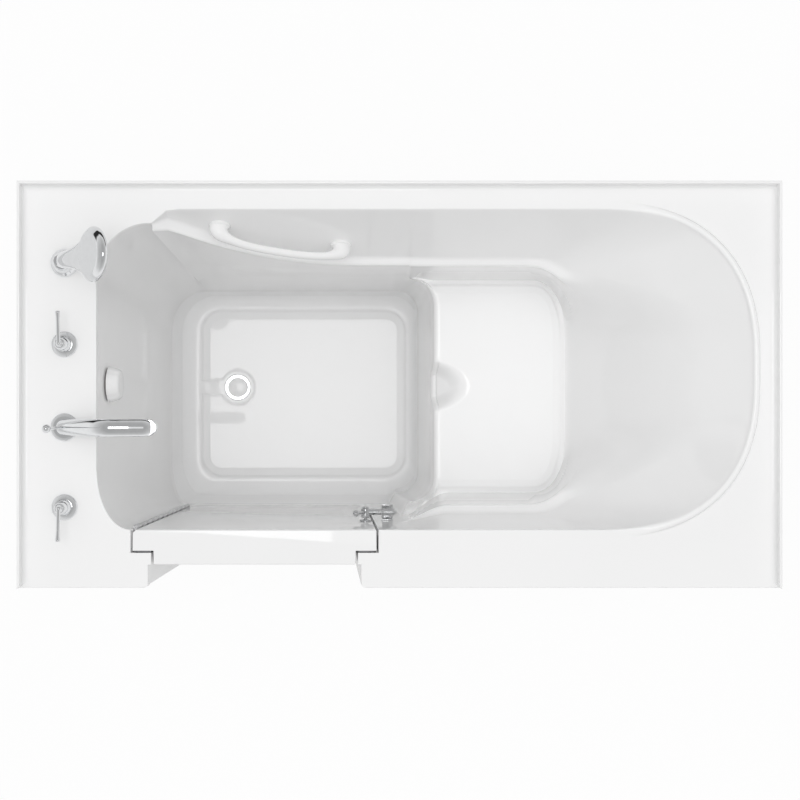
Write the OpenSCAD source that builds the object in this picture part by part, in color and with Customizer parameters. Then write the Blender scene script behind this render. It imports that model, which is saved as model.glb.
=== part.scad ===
// Walk-in bathtub with an inward-opening door, deck-mounted taps and a hand shower.
// Millimetres. The origin lies on the floor under the middle of the footprint,
// X runs to the head end, Y to the back and Z up.

/* [Tub] */
// Overall length
tub_l = 1524; // [1480:4:1600]
// Overall width
tub_w = 813; // [800:1:860]
// Height of the deck above the floor
deck_h = 965; // [940:5:1000]
// Thickness of the moulded shell
shell_t = 6; // [5:0.5:7]
// Height of the tiling flange above the deck
flange_h = 25; // [12:1:40]
// Depth of the skirt that hangs from the deck edge
skirt_h = 30; // [24:1:45]

/* [Well] */
// Deck width at the tap end
deck_tap = 155; // [150:1:160]
// Deck width at the head end
deck_head = 56; // [50:1:80]
// Deck width along the front
deck_front = 116.5; // [112:0.5:124]
// Deck width along the back
deck_back = 54.5; // [50:0.5:70]
// Height of the footwell floor
floor_h = 105; // [100:1:115]
// Height of the seat above the footwell floor
seat_rise = 432; // [400:4:450]
// Depth of the armrest ledge below the deck
ledge_drop = 200; // [180:5:220]
// Radius of the cove between the footwell walls and floor
cove_r = 60; // [50:1:65]
// Length of the footwell at the seat edge
footwell_l = 685; // [665:5:695]
// Depth of the seat
seat_d = 290; // [270:5:300]
// Half width of the seat
seat_half = 236; // [225:1:240]
// Height of the rolled lip round the head end
lip_h = 12; // [8:1:16]

/* [Door] */
// Distance from the tap end of the well to the hinge edge of the door
door_inset = 72; // [71:1:76]
// Width of the door's inner flange at the deck
door_w = 489; // [470:1:495]
// Height of the door's bottom edge above the cove
door_gap = 4; // [4:0.5:5]
// How far the hinge edge leans in over the height of the door
door_lean = 20; // [16:1:24]
// How far the latch edge leans in over the height of the door
latch_lean = 41; // [36:1:46]
// Corner radius at the bottom of the door
door_corner = 62; // [50:1:70]
// Thickness of the inner flange
leaf_t = 42; // [40:1:44]
// Thickness of the outer plug
plug_t = 28; // [26:1:30]
// Width of the step between the flange and the plug
door_step = 42; // [40:1:44]
// Skin of the door's two trays
door_skin = 5; // [4:0.5:6]
// Gasket thickness
gasket_t = 3.6; // [3:0.2:3.8]

/* [Hinge] */
// Radius of the hinge barrel
barrel_r = 5.5; // [5:0.1:5.6]
// Radius of the hinge pin
hinge_pin_r = 2.5; // [2.2:0.1:2.8]
// Length of the hinge
hinge_l = 690; // [600:10:710]
// Number of knuckles
knuckles = 11; // [7:2:15]
// Leaf thickness
hinge_leaf_t = 1.6; // [1.4:0.1:1.7]

/* [Taps] */
// Distance of the tap centre line from the well
tap_back = 64; // [60:1:68]
// Spacing of the two handles and of the spout from the middle
tap_pitch = 163; // [158:1:168]
// Spout reach from its riser
spout_reach = 198; // [180:2:210]
// Spout width
spout_w = 35; // [32:1:38]
// Height of the handles above the deck
hub_h = 54; // [48:1:60]
// Reach of a lever from its hub
lever_reach = 65; // [55:1:72]
// Height of the diverter knob above the deck
diverter_h = 172; // [160:2:185]
// Diameter of the shower head
shower_d = 106; // [100:1:110]
// Height of the middle of the shower head above the deck
shower_rise = 200; // [190:2:210]

/* [Waste] */
// Distance from the tap end of the well to the drain
drain_inset = 198; // [190:1:206]
// Radius of the stopper
stopper_r = 24.5; // [23:0.5:26]
// Radius of the waste pipe
waste_r = 19.05; // [18:0.05:20]
// Depth of the overflow below the deck
overflow_drop = 100; // [95:1:110]
// Radius of the overflow knob
overflow_r = 37; // [34:1:38]
// How far the stopper lifts
stopper_lift = 10; // [8:1:12]

/* [Frame] */
// Section of the steel frame bars
bar = 25; // [22:1:28]
// Thickness of the boards under the floor and the seat
board_t = 18; // [15:1:20]
// Radius of a levelling foot
foot_r = 22; // [18:1:26]

/* [Hidden] */

$fn = 48;
fit = 0.3;            // gap between pieces that move past each other
run = 0.05;           // radial clearance of a shaft in its bore
seat_gap = 0.4;       // gap between a moving piece at rest and its seat

acrylic = "white";
chrome = "silver";
steel = "gainsboro";
brass = "goldenrod";
rubber = "dimgray";
ply = "burlywood";
copper = "peru";

// ---- levels and outlines of the well ----
x_tap = -tub_l / 2 + deck_tap;
x_head = tub_l / 2 - deck_head;
y_front = -tub_w / 2 + deck_front;
y_back = tub_w / 2 - deck_back;
z_seat = floor_h + seat_rise;
z_ledge = deck_h - ledge_drop;
z_wall = floor_h + cove_r;
x_seat = x_tap + footwell_l;         // front edge of the seat
x_pillar = x_seat - 76;              // end of the flat front wall beside the door
x_crook = x_seat - 58;               // end of the straight back wall of the footwell
x_rear = x_seat + seat_d;            // back edge of the seat
tap_corner = [68, 120];              // plan corner of the well in front at the tap end
back_corner = [107, 110];            // plan corner of the well behind at the tap end
back_step = 28;                      // step in the back rim where the armrest starts
ledge_y = [y_front + 20, y_back - 80];
ledge_w = 17;
swoop = [x_tap + 547, x_tap + 111];  // the armrest climbs to the rim between these
swoop_e = 2.3;                       // how late the climb steepens
tap_draft = 38;                      // lean of the tap-end wall over its height
pit_back = y_back - 110;             // back wall of the footwell at its foot
roll = 12;                           // rounding of the seat's front edge
ledge_rear = 20;                     // how far behind the seat the ledge turns its corner
back_share = [0.40, 0.74];           // places of the backrest's two bends between rim and seat
back_drop = [129, 284];              // their depth below the deck
cove_in = [1, 1, 0.67, 0.4];         // width of the cove at the tap end, front, back and seat, in cove_r
deck_cove = 10;

function mix(a, b, w) = a + (b - a) * w;
function ease(u) = let (c = max(0, min(1, u))) c * c * (3 - 2 * c);
function span(a, b, n) = [for (i = [0:n - 1]) mix(a, b, i / n)];
function full(a, b, n) = [for (i = [0:n - 1]) mix(a, b, i / (n - 1))];
function bend(c, a, b, from, n, e = 2) =
    [for (i = [0:n - 1]) let (t = from + 90 * i / n)
        [c.x + a * sign(cos(t)) * pow(abs(cos(t)), 2 / e),
         c.y + b * sign(sin(t)) * pow(abs(sin(t)), 2 / e)]];
function elbow(a, c, b, n) = concat(
    [for (k = [0:n / 2 - 1]) mix(c, a, pow(1 - 2 * k / n, 3))],
    [for (k = [0:n / 2 - 1]) mix(c, b, pow(2 * k / n, 3))]);
function raise(points, z) = [for (p = points) [p.x, p.y, z]];

// Every ring round the well has the same stretches, so that rings join point to point.
n_corner = 6;
n_door = 5;
n_side = 6;
n_head = 8;
n_end = 2;
n_tap = 4;
i_side = n_corner + n_door;                       // first point past the door
i_back = i_side + 2 * n_side + 2 * n_head + n_end; // first point of the footwell's back wall

// Front of the well past the door: from the flat wall into the narrower seat bay
function bay(x, y, o) = mix(y_front - o, y - o, ease((x - x_pillar) / 62));

// Outline with a straight seat bay and a round head end, outset by o
function wide(x1, y0, y1, corner, e, o, yl) = let (
        x0 = x_tap - o, xa = x0 + o + tap_corner.x, xb = x0 + o + back_corner.x,
        xc = x1 - corner.x, ya = y0 + corner.y, yb = y1 - corner.y)
    concat(
        bend([xa, y_front + tap_corner.y], tap_corner.x + o, tap_corner.y + o, 180, n_corner),
        [for (x = span(xa, x_pillar, n_door)) [x, y_front - o]],
        [for (x = span(x_pillar, xc, n_side)) [x, bay(x, y0, o)]],
        bend([xc, ya], corner.x + o, corner.y + o, 270, n_head, e),
        [for (y = span(ya, yb, n_end)) [x1 + o, y]],
        bend([xc, yb], corner.x + o, corner.y + o, 0, n_head, e),
        [for (x = span(xc, x_crook, n_side)) [x, y1 + o]],
        [for (x = full(x_crook, xb + 4, n_corner)) [x, y1 + o]],
        bend([xb, yl - back_corner.y], back_corner.x + o, back_corner.y + o, 90, n_corner),
        [for (y = span(yl - back_corner.y, y_front + tap_corner.y, n_tap)) [x0, y]]);

// Outline of the footwell, whose head-end side is the front of the seat
function pit(x1, inset, o) = let (
        x0 = x_tap + inset.x, xa = max(x_tap + tap_corner.x, x0 + 50), xb = max(x_tap + back_corner.x, x0 + 60),
        y0 = y_front + inset.y, y1 = pit_back - inset.z,
        ca = x1 - x_pillar, cb = [x1 - x_crook, 75])
    concat(
        bend([xa, y_front + tap_corner.y], xa - x0 + o, tap_corner.y - inset.y + o, 180, n_corner),
        [for (x = span(xa, x_pillar, n_door)) [x, y0 - o]],
        bend([x_pillar, y0 + 100], ca + o, 100 + o, 270, n_side),
        [for (y = span(y0 + 100, y1 - cb.y, 2 * n_head + n_end)) [x1 + o, y]],
        bend([x_crook, y1 - cb.y], cb.x + o, cb.y + o, 0, n_side),
        [for (x = full(x_crook, xb + 4, n_corner)) [x, y1 + o]],
        bend([xb, y1 - back_corner.y], xb - x0 + o, back_corner.y + o, 90, n_corner),
        [for (y = span(y1 - back_corner.y, y_front + tap_corner.y, n_tap)) [x0 - o, y]]);

// Rectangle of the deck edge, inset by d, with its own heights along the front and the sides
function edge(d, z_front, z_side) = let (
        x0 = -tub_l / 2 + d, x1 = tub_l / 2 - d, y0 = -tub_w / 2 + d, y1 = tub_w / 2 - d,
        xa = x_tap + tap_corner.x, xb = x_tap + back_corner.x, xc = x_head - head_corner.x,
        ya = y_front + tap_corner.y, yb = y_back - back_step - back_corner.y,
        yc = y_front + head_corner.y, yd = y_back - head_corner.y)
    [for (p = concat(
        elbow([x0, ya], [x0, y0], [xa, y0], n_corner),
        [for (x = span(xa, x_pillar, n_door)) [x, y0]],
        [for (x = span(x_pillar, xc, n_side)) [x, y0]],
        elbow([xc, y0], [x1, y0], [x1, yc], n_head),
        [for (y = span(yc, yd, n_end)) [x1, y]],
        elbow([x1, yd], [x1, y1], [xc, y1], n_head),
        [for (x = span(xc, x_crook, n_side)) [x, y1]],
        [for (x = full(x_crook, xb + 4, n_corner)) [x, y1]],
        elbow([xb, y1], [x0, y1], [x0, yb], n_corner),
        [for (y = span(yb, ya, n_tap)) [x0, y]]))
     [p.x, p.y, p.y == y0 && p.x > x0 && p.x < x1 ? z_front : z_side]];

head_corner = [310, 300];
rest_corner = [105, 105];
seat_corner = [62, 62];

function rim(o, z) = raise(wide(x_head, y_front, y_back, head_corner, 2.4, o, y_back - back_step), z);

// Lip round the head end, d outside the rim
function lip(d, h) = [for (p = rim(d, deck_h))
    [p.x, p.y, deck_h + h * ease((p.x - x_rear - 70) / 150)]];

function low(o) = raise(pit(x_seat - 33, [tap_draft, 0, 0], o), z_wall);

// How far round the head end a ring point lies: 1 beside the seat, 0 behind it
head_a = i_side + n_side;
head_b = head_a + 2 * n_head + n_end;
function beside(i) = i < head_a || i >= head_b ? 1 : i < head_a + n_head ? 1 - (i - head_a) / n_head
    : i < head_b - n_head ? 0 : (i - head_b + n_head) / n_head;

// Armrest ledge line, w in from its outer edge; it climbs to the rim at the tap end
// and fades into the backrest behind the seat
function ledge(w, drop, o) = let (
        top = rim(o, deck_h), foot = low(o), z_top = deck_h - drop, k = w > 0 ? 1 : 0,
        rest = wide(x_rear + ledge_rear - w, ledge_y.x + w, ledge_y.y - w, rest_corner, 2, o, y_back),
        base = wide(x_rear, -seat_half, seat_half, seat_corner, 2, o, y_back))
    [for (i = [0:len(top) - 1]) let (
        on_rest = i >= i_side && i < i_back + n_corner,
        u = i < i_back || !on_rest ? 0
            : pow(max(0, min(1, (rest[i].x - swoop[0]) / (swoop[1] - swoop[0]))), swoop_e),
        v = ease((beside(i) - 0.2) / 0.45),
        z_side = i < i_side ? mix(z_top, z_ledge - drop, ease(i / i_side)) : z_top,
        f = (deck_h - z_side) / (deck_h - z_wall),
        side = [mix(top[i].x, foot[i].x, f), mix(top[i].y, foot[i].y, f), z_side],
        back = [mix(top[i].x, base[i].x, back_share[k]), mix(top[i].y, base[i].y, back_share[k]),
            deck_h - back_drop[k]],
        line = mix(back, [rest[i].x, rest[i].y, z_ledge - drop], v))
     on_rest ? mix(line, side, u) : side];

// Ring on the footwell walls at height z, carried across to the given ring past the door
function shelf(ring, z, o) = let (from = ledge(ledge_w, 8, o), foot = low(o))
    [for (i = [0:len(foot) - 1]) let (f = (from[i].z - z) / (from[i].z - z_wall))
        i >= i_side && i < i_back ? ring[i] : mix(from[i], foot[i], f)];

function seat(d, h, o) = shelf(
    raise(wide(x_rear + d, -seat_half - d, seat_half + d, seat_corner, 2, o, y_back), z_seat + h), z_seat + h, o);
function brow(d, h, z, o) = shelf(raise(pit(x_seat - d, [0, 0, 0], o), z_seat - h), z, o);

function cove(a, o) = let (d = cove_r * (1 - cos(a)), h = cove_r * (1 - sin(a)))
    raise(pit(x_seat - 33 - d * cove_in[3], [tap_draft + d * cove_in.x, d * cove_in.y, d * cove_in.z], o),
        floor_h + h);

// Closed skin over a stack of rings, with a middle point at each end
function middle(ring) = [for (k = [0:2]) [for (p = ring) p[k]] * [for (p = ring) 1] / len(ring)];
module skin(rings) {
    n = len(rings[0]);
    m = len(rings);
    points = concat([for (r = rings) each r], [middle(rings[0]), middle(rings[m - 1])]);
    sides = [for (k = [0:m - 2]) for (i = [0:n - 1]) let (j = (i + 1) % n, a = k * n, b = a + n)
        each [[a + i, b + i, b + j], [a + i, b + j, a + j]]];
    caps = [for (i = [0:n - 1]) let (j = (i + 1) % n, b = (m - 1) * n)
        each [[i, j, m * n], [b + j, b + i, m * n + 1]]];
    polyhedron(points, concat(sides, caps), convexity = 12);
}

module moulding() {
    t = shell_t;
    under = deck_h - t;
    top = deck_h + flange_h;
    function down(ring, h) = [for (p = ring) [p.x, p.y, p.z - h]];
    skin([
        down(cove(90, 0), t), down(cove(45, t * 0.7), t * 0.7), low(t),
        down(brow(roll, roll * 1.2, z_seat - 70, t), t), down(brow(0, 1, z_seat - 40, t), t),
        down(seat(0, 0, t), t), down(seat(18, 25, t), t * 0.5),
        down(ledge(ledge_w, 8, t), t * 0.5), down(ledge(0, 4, t), t * 0.5), rim(t, under),
        edge(t, under, under), edge(t, deck_h - skirt_h, deck_h - skirt_h),
        edge(0, deck_h - skirt_h, deck_h - skirt_h), edge(0, deck_h - 2, top - 1),
        edge(1.5, deck_h, top), edge(t - 1.5, deck_h, top), edge(t, deck_h, top - 1),
        edge(t + 1, deck_h, deck_h + deck_cove * 0.4), edge(t + deck_cove, deck_h, deck_h),
        lip(16, 0), lip(10, lip_h), lip(4, lip_h), rim(0, deck_h - 4),
        ledge(0, 4, 0), ledge(ledge_w, 8, 0), seat(18, 25, 0), seat(0, 0, 0),
        brow(0, 1, z_seat - 40, 0), brow(roll, roll * 1.2, z_seat - 70, 0), low(0),
        cove(45, 0), cove(90, 0)]);
}

// ---- door, its frame and its hinge ----
door_x0 = x_tap + door_inset;
door_x1 = door_x0 + door_w;
door_z = z_wall + door_gap;
y_leaf = y_front;                        // inner face of the door
y_step = y_front - leaf_t;               // sealing step
y_plug = y_step - plug_t;                // outer face of the door
y_panel = -tub_w / 2 + shell_t;          // outer face of the front panel
panel_t = 5;
jamb_t = 5;
seal_gap = gasket_t + fit + 0.5;         // from the step of the door to the frame
reveal_gap = 11;                         // recess outline outside the plug
plug_gap = door_gap + 1;
lean = atan(door_lean / (deck_h - door_z));

// Outline of the door in X and Z, grown by o from the inner flange
function door_line(o, top) = let (
        h = top - door_z, r = door_corner + o,
        xl = door_x0 - o, xr = door_x1 + o, zb = door_z - o,
        sl = door_lean / (deck_h - door_z), sr = latch_lean / (deck_h - door_z),
        fl = function(z) xl + (deck_h - z) * sl, fr = function(z) xr - (deck_h - z) * sr,
        cl = [fl(zb + r) + r, zb + r], cr = [fr(zb + r) - r, zb + r])
    concat([[fl(top), top]],
        [for (a = [180:15:270]) [cl.x + r * cos(a), cl.y + r * sin(a)]],
        [for (a = [270:15:360]) [cr.x + r * cos(a), cr.y + r * sin(a)]],
        [[fr(top), top]]);

// Slab of a door outline between two depths
module slab(o, y0, y1, top) translate([0, y1, 0]) rotate([90, 0, 0])
    linear_extrude(y1 - y0) polygon(door_line(o, top));

over = 60;          // how far cutters run past what they cut
module doorway() {
    slab(door_gap, y_step - seal_gap, y_front + 12, deck_h + over);
    slab(plug_gap - door_step, y_plug, y_step - 1, deck_h + over);
    slab(reveal_gap - door_step, -tub_w / 2 - over, y_plug + 0.5, deck_h + over);
}

// Placed on the hinge axis, Z along it, zero at the deck
module on_hinge() translate([door_x0 - 2, y_front + 1, deck_h]) rotate([0, -lean, 0]) children();
hinge_top = -40;
knuckle_l = hinge_l / knuckles;
chamfer = 7;

// ---- places of the taps and the waste ----
x_taps = x_tap - tap_back;
y_cold = tap_pitch / 2;
y_hot = -1.5 * tap_pitch;
y_spout = -tap_pitch / 2 - 3;
y_shower = 1.5 * tap_pitch;
x_drain = x_tap + drain_inset;
y_waste = 2;
z_over = deck_h - overflow_drop;
wall_tilt = atan(tap_draft / (deck_h - z_wall));
x_over = x_tap + overflow_drop * tan(wall_tilt);
hole_r = 16;
drain_hole_r = 22.5;
recess = 3;
under = deck_h - shell_t;
module at_taps(y) translate([x_taps, y, deck_h]) children();
module at_overflow() translate([x_over, y_waste, z_over]) rotate([0, 90 - wall_tilt, 0]) children();
module at_drain() translate([x_drain, y_waste, floor_h]) children();

// ---- grab bar on the sloping back wall ----
back_slope = (y_back - ledge_y.y) / ledge_drop;
grab_l = [x_tap + 240, 65];      // place along the tub and depth below the deck, tap-end foot
grab_r = [x_tap + 484, 145];
grab_stand = 36;
grab_foot = 21;
grab_n = 14;
grab_sides = 14;
wall_n = [0, -1, back_slope] / norm([0, 1, back_slope]);
rim_drop = 4;                    // the wall planes start this far below the deck
function on_back(x, depth, out) =
    [x, y_back - back_slope * (depth - rim_drop), deck_h - depth] + wall_n * out;
module at_grab(g) translate(on_back(g.x, g.y, 0)) rotate([90 - atan(back_slope), 0, 0]) children();
function unit(v) = v / norm(v);
// Ring of an oval section at p, square to d, with half sizes a towards u and b across it
function oval(p, d, u, a, b, n) = let (w = unit(cross(unit(d), u)), v = cross(w, unit(d)))
    [for (i = [0:n - 1]) p + v * a * cos(360 * i / n) + w * b * sin(360 * i / n)];

// Scoop in the front edge of the seat, a half round body lying along X
scoop_l = 88;
scoop_w = 58;
module scoop(o) translate([x_seat, y_waste, z_seat + 1]) rotate([0, 90, 0])
    rotate_extrude() polygon(concat([[0, 0]],
        [for (a = [0:10:90]) [(scoop_w + o) * cos(a), (scoop_l + o) * sin(a)]]));
module tub_shell() color(acrylic) difference() {
    union() {
        moulding();
        intersection() {
            scoop(shell_t);
            translate([x_seat + 0.5, -over * 2, z_seat - over * 2]) cube([over * 2, over * 4, over * 2 - 3]);
        }
    }
    scoop(0);
    translate([x_seat - 12, y_waste, z_seat + 1]) rotate([0, 90, 0]) cylinder(r = scoop_w, h = 13);
    doorway();
    on_hinge() translate([0, 0, hinge_top - hinge_l - 8]) cylinder(r = barrel_r + 0.8, h = hinge_l + 16);
    for (y = [y_hot, y_spout, y_cold, y_shower]) at_taps(y)
        translate([0, 0, -over]) cylinder(r = hole_r, h = 2 * over);
    at_overflow() translate([0, 0, -over]) cylinder(r = hole_r, h = 2 * over);
    for (g = grab_bolts) at_grab(g) translate([0, 0, -20]) cylinder(r = bolt_r + 0.1, h = 40);
    at_drain() {
        translate([0, 0, -recess]) cylinder(r = 39.5, h = over);
        translate([0, 0, -over]) cylinder(r = drain_hole_r, h = 2 * over);
        translate([-drain_inset + tap_draft + cove_r - 8, -16.5, -recess])
            cube([drain_inset - tap_draft - cove_r + 8 - 30, 33, over / 4]);
    }
}

module door_frame() color(acrylic) {
    z_top = under;
    difference() {
        union() {
            slab(reveal_gap - door_step + jamb_t, y_panel, y_plug + 2, z_top);
            slab(plug_gap - door_step + jamb_t, y_plug + 1, y_step - seal_gap, z_top);
            slab(door_gap + jamb_t, y_step - seal_gap - jamb_t, y_front - shell_t, z_top);
        }
        slab(reveal_gap - door_step, y_panel - over, y_plug, z_top + over);
        slab(plug_gap - door_step, y_plug - over, y_step, z_top + over);
        slab(door_gap, y_step - seal_gap, y_front + over, z_top + over);
        for (z = screw_z) hinge_screw_at(z) translate([0, 0, -12]) cylinder(r = screw_r + 0.1, h = 11);
    }
}
z_hinge_low = hinge_top - hinge_l;

// Screws through the hinge leaves, Z from the frame to the door
screw_z = [for (k = [0:3]) z_hinge_low + 30 + k * (hinge_l - 60) / 3];
screw_r = 2;
y_screw = -22;
module hinge_screw_at(z) on_hinge() translate([0, y_screw, z]) rotate([0, 90, 0]) children();

module front_panel() color(acrylic) difference() {
    translate([-tub_l / 2 + shell_t + fit, y_panel, 12])
        cube([tub_l - 2 * shell_t - 2 * fit, panel_t, under - 12 - 4]);
    slab(reveal_gap - door_step + jamb_t + fit, y_panel - over, y_panel + over, deck_h);
    for (p = panel_holes) translate([p.x, y_panel + over, p.y]) rotate([90, 0, 0])
        cylinder(r = 2.4, h = 2 * over);
}

// ---- steel frame under the tub ----
z_bar = floor_h - shell_t - board_t - bar;   // underside of the bottom bars
y_rail = -y_panel - panel_t - 4.5 - bar / 2; // middle line of the long rails
x_post = tub_l / 2 - shell_t - 18 - bar / 2;
x_cross = [x_crook - 365, x_crook - 100, x_seat + 150];
z_post = z_bar + bar;
posts = [[-x_post, -y_rail], [x_post, -y_rail], [x_pillar + 70, -y_rail],
    [-x_post, y_rail], [x_post, y_rail], [x_pillar + 10, y_rail]];
panel_holes = [[-x_post, z_post + 60], [-x_post, under - 60], [x_post, z_post + 60],
    [x_post, under - 60], [x_pillar + 70, z_post + 60], [x_pillar + 70, under - 60]];
screw_l = 22;

module beam(a, b) translate([min(a.x, b.x) - bar / 2, min(a.y, b.y) - bar / 2, z_bar])
    cube([abs(b.x - a.x) + bar, abs(b.y - a.y) + bar, bar]);
module foot_places() for (x = [-x_post, x_cross[0], x_seat, x_post]) for (y = [-1, 1])
    translate([x, y * y_rail, 0]) children();

module base_frame() color(steel) difference() {
    union() {
        for (y = [-1, 1]) beam([-x_post, y * y_rail], [x_post, y * y_rail]);
        for (x = concat([-x_post, x_post], x_cross)) beam([x, -y_rail], [x, y_rail]);
    }
    foot_places() cylinder(r = 6.1, h = 2 * z_bar);
}
module frame_posts() color(steel) difference() {
    for (p = posts) translate([p.x - bar / 2, p.y - bar / 2, z_post]) cube([bar, bar, under - z_post]);
    for (p = panel_holes) translate([p.x, -y_rail, p.y]) rotate([90, 0, 0]) cylinder(r = 2.4, h = bar);
}
module floor_board() color(ply) difference() {
    translate([x_tap + tap_draft + cove_r + 12, y_front + cove_r + 10, z_post])
        cube([footwell_l - tap_draft - 2 * cove_r - 60, pit_back - y_front - 2 * cove_r - 20, board_t]);
    at_drain() translate([0, 0, -2 * over]) cylinder(r = 40, h = 3 * over);
}
module seat_board() color(ply) {
    difference() {
        translate([x_seat + 30, -seat_half + 30, z_seat - shell_t - 1.1 - board_t])
            cube([seat_d - 60, 2 * seat_half - 60, board_t]);
        translate([x_seat, y_waste, z_seat - over]) cylinder(r = scoop_l + shell_t + 6, h = over);
    }
    for (y = [-1, 1]) translate([x_cross[2] - bar, y * seat_half / 2 - bar, z_post])
        cube([2 * bar, 2 * bar, z_seat - shell_t - 1.1 - board_t - z_post]);
}
module levelling_feet() color(rubber) foot_places() {
    cylinder(r = foot_r, h = 7);
    translate([0, 0, 7]) cylinder(r1 = foot_r * 0.8, r2 = 10, h = 7);
    cylinder(r = 6, h = z_bar + bar - 4);
}
module foot_locknuts() color(steel) foot_places() translate([0, 0, z_bar - 8]) difference() {
    cylinder(r = 10.5, h = 8, $fn = 6);
    translate([0, 0, -1]) cylinder(r = 6.1, h = 10);
}
module panel_screws() color(steel) for (p = panel_holes) translate([p.x, y_panel, p.y])
    rotate([90, 0, 0]) {
        cylinder(r1 = 5, r2 = 3.4, h = 2.4);
        translate([0, 0, -screw_l]) cylinder(r = 2.2, h = screw_l);
    }

// ---- grab bar ----
grab_bolts = [grab_l, grab_r];
grab_a = on_back(grab_l.x, grab_l.y, 0);
grab_b = on_back(grab_r.x, grab_r.y, 0);
grab_along = unit(grab_b - grab_a);
grab_across = cross(wall_n, grab_along);
function grab_at(t) = (grab_a + grab_b) / 2
    - grab_along * norm(grab_b - grab_a) / 2 * sign(cos(t)) * pow(abs(cos(t)), 0.8)
    + wall_n * (4 + grab_stand * pow(sin(t), 0.7));
module grab_bar() color(acrylic) difference() {
    grab_solid();
    for (g = grab_bolts) at_grab(g) translate([0, 0, -1]) cylinder(r = bolt_r + 0.1, h = 7.2);
    translate(wall_n * 0.1) moulding();
}
module grab_solid() {
    skin([for (k = [0:grab_n]) let (t = 180 * k / grab_n, e = 1,
            d = grab_at(min(180, t + e)) - grab_at(max(0, t - e)),
            way = k == 0 ? wall_n : k == grab_n ? -wall_n : d,
            flare = 1 + 0.8 * pow(abs(cos(t)), 6))
        oval(grab_at(t), way, grab_across, 9.5 * flare,
            mix(7.6, grab_foot, pow(abs(cos(t)), 9)), grab_sides)]);
    for (g = grab_bolts) at_grab(g) translate([0, 0, -1]) cylinder(r1 = grab_foot, r2 = grab_foot - 3, h = 8);
}
bolt_r = 3.2;
bolt_seat = -shell_t * 1.12 - 0.05;   // washer face behind the wall
module grab_bar_bolts() color(steel) for (g = grab_bolts) at_grab(g) {
    translate([0, 0, bolt_seat - 3]) cylinder(r = 9, h = 3);
    translate([0, 0, bolt_seat - 7]) cylinder(r = 6.5, h = 4.5, $fn = 6);
    translate([0, 0, bolt_seat - 1]) cylinder(r = bolt_r, h = 6 - bolt_seat);
}

// ---- waste and overflow ----
pipe_r = waste_r;
z_waste = z_bar - 8;                    // middle of the run under the floor
x_stack = x_over - shell_t - 34;
tee_r = waste_r + 4;
knob_bore = 10;
module overflow_body() color(brass) difference() {
    union() {
        at_overflow() {
            translate([0, 0, -36]) cylinder(r = 15, h = 36 + 4);
            translate([0, 0, -shell_t - 9]) cylinder(r = 25, h = 5);
        }
        translate([x_stack, y_waste, z_over - 34]) cylinder(r = tee_r, h = 56);
    }
    translate([x_stack, y_waste, z_over - 35]) cylinder(r = pipe_r + run, h = 25);
    at_overflow() translate([0, 0, -20]) cylinder(r = knob_bore, h = 60);
}
module overflow_gasket() color(rubber) at_overflow() difference() {
    translate([0, 0, -shell_t - 3.9]) cylinder(r = 24, h = 3.6);
    translate([0, 0, -shell_t - 5]) cylinder(r = 15.3, h = 8);
}
module overflow_pipe() color(brass) translate([x_stack, y_waste, z_waste + tee_r])
    difference() {
        cylinder(r = pipe_r, h = z_over - 10 - z_waste - tee_r);
        translate([0, 0, -1]) cylinder(r = pipe_r - 1.5, h = deck_h);
    }
module waste_tee() color(brass) translate([x_stack, y_waste, 0]) difference() {
    union() {
        translate([0, 0, z_waste - tee_r]) cylinder(r = tee_r, h = 2 * tee_r + 22);
        translate([0, 0, 5]) cylinder(r = pipe_r, h = z_waste);
        translate([0, 0, z_waste]) rotate([0, 90, 0]) cylinder(r = tee_r, h = 42);
    }
    translate([0, 0, z_waste + tee_r - 0.3]) cylinder(r = pipe_r + run, h = 60);
    translate([0, 0, -1]) cylinder(r = pipe_r - 2, h = z_waste + 40);
    translate([0, 0, z_waste]) rotate([0, 90, 0]) cylinder(r = pipe_r - 2, h = 60);
    translate([24, 0, z_waste]) rotate([0, 90, 0]) cylinder(r = pipe_r + run, h = 60);
}
module drain_shoe() color(brass) difference() {
    union() {
        translate([x_drain, y_waste, z_waste - tee_r]) cylinder(r = tee_r + 3, h = floor_h - shell_t - 4 - z_waste + tee_r);
        translate([x_stack + 24.3, y_waste, z_waste]) rotate([0, 90, 0])
            cylinder(r = pipe_r, h = x_drain - x_stack - 24.3);
        translate([x_drain, y_waste, floor_h - shell_t - 9]) cylinder(r = 32, h = 5);
    }
    translate([x_drain, y_waste, z_waste - 12]) cylinder(r = 21 + run, h = floor_h);
    translate([x_stack, y_waste, z_waste]) rotate([0, 90, 0]) cylinder(r = pipe_r - 2, h = x_drain - x_stack);
}
module drain_gasket() color(rubber) at_drain() translate([0, 0, -shell_t - 3.8]) difference() {
    cylinder(r = 31, h = 3.6);
    translate([0, 0, -1]) cylinder(r = 23, h = 6);
}
drain_bore = 18;
module drain_flange() color(chrome) at_drain() difference() {
    union() {
        translate([0, 0, -recess + 0.1]) cylinder(r = 33, h = 2);
        translate([0, 0, -recess - 32]) cylinder(r = 21, h = 33);
    }
    translate([0, 0, -60]) cylinder(r = drain_bore, h = 90);
}
stop_z = -recess + 2.1 + seat_gap;
module drain_stopper() color(acrylic) at_drain() translate([0, 0, stop_z]) {
    rotate_extrude() polygon([[0, 0], [stopper_r, 0], [stopper_r, 2.2], [stopper_r - 1.2, 3.6],
        [stopper_r * 0.6, 4.8], [0, 5.4]]);
    difference() {
        translate([0, 0, -16]) cylinder(r = drain_bore - fit, h = 17);
        translate([0, 0, -17]) cylinder(r = drain_bore - 3, h = 17);
        for (a = [0, 60, 120]) rotate(a) translate([-30, -5, -14]) cube([60, 10, 12]);
    }
    translate([0, 0, -30]) cylinder(r = 3, h = 31);
}
cable_r = 3;
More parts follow.
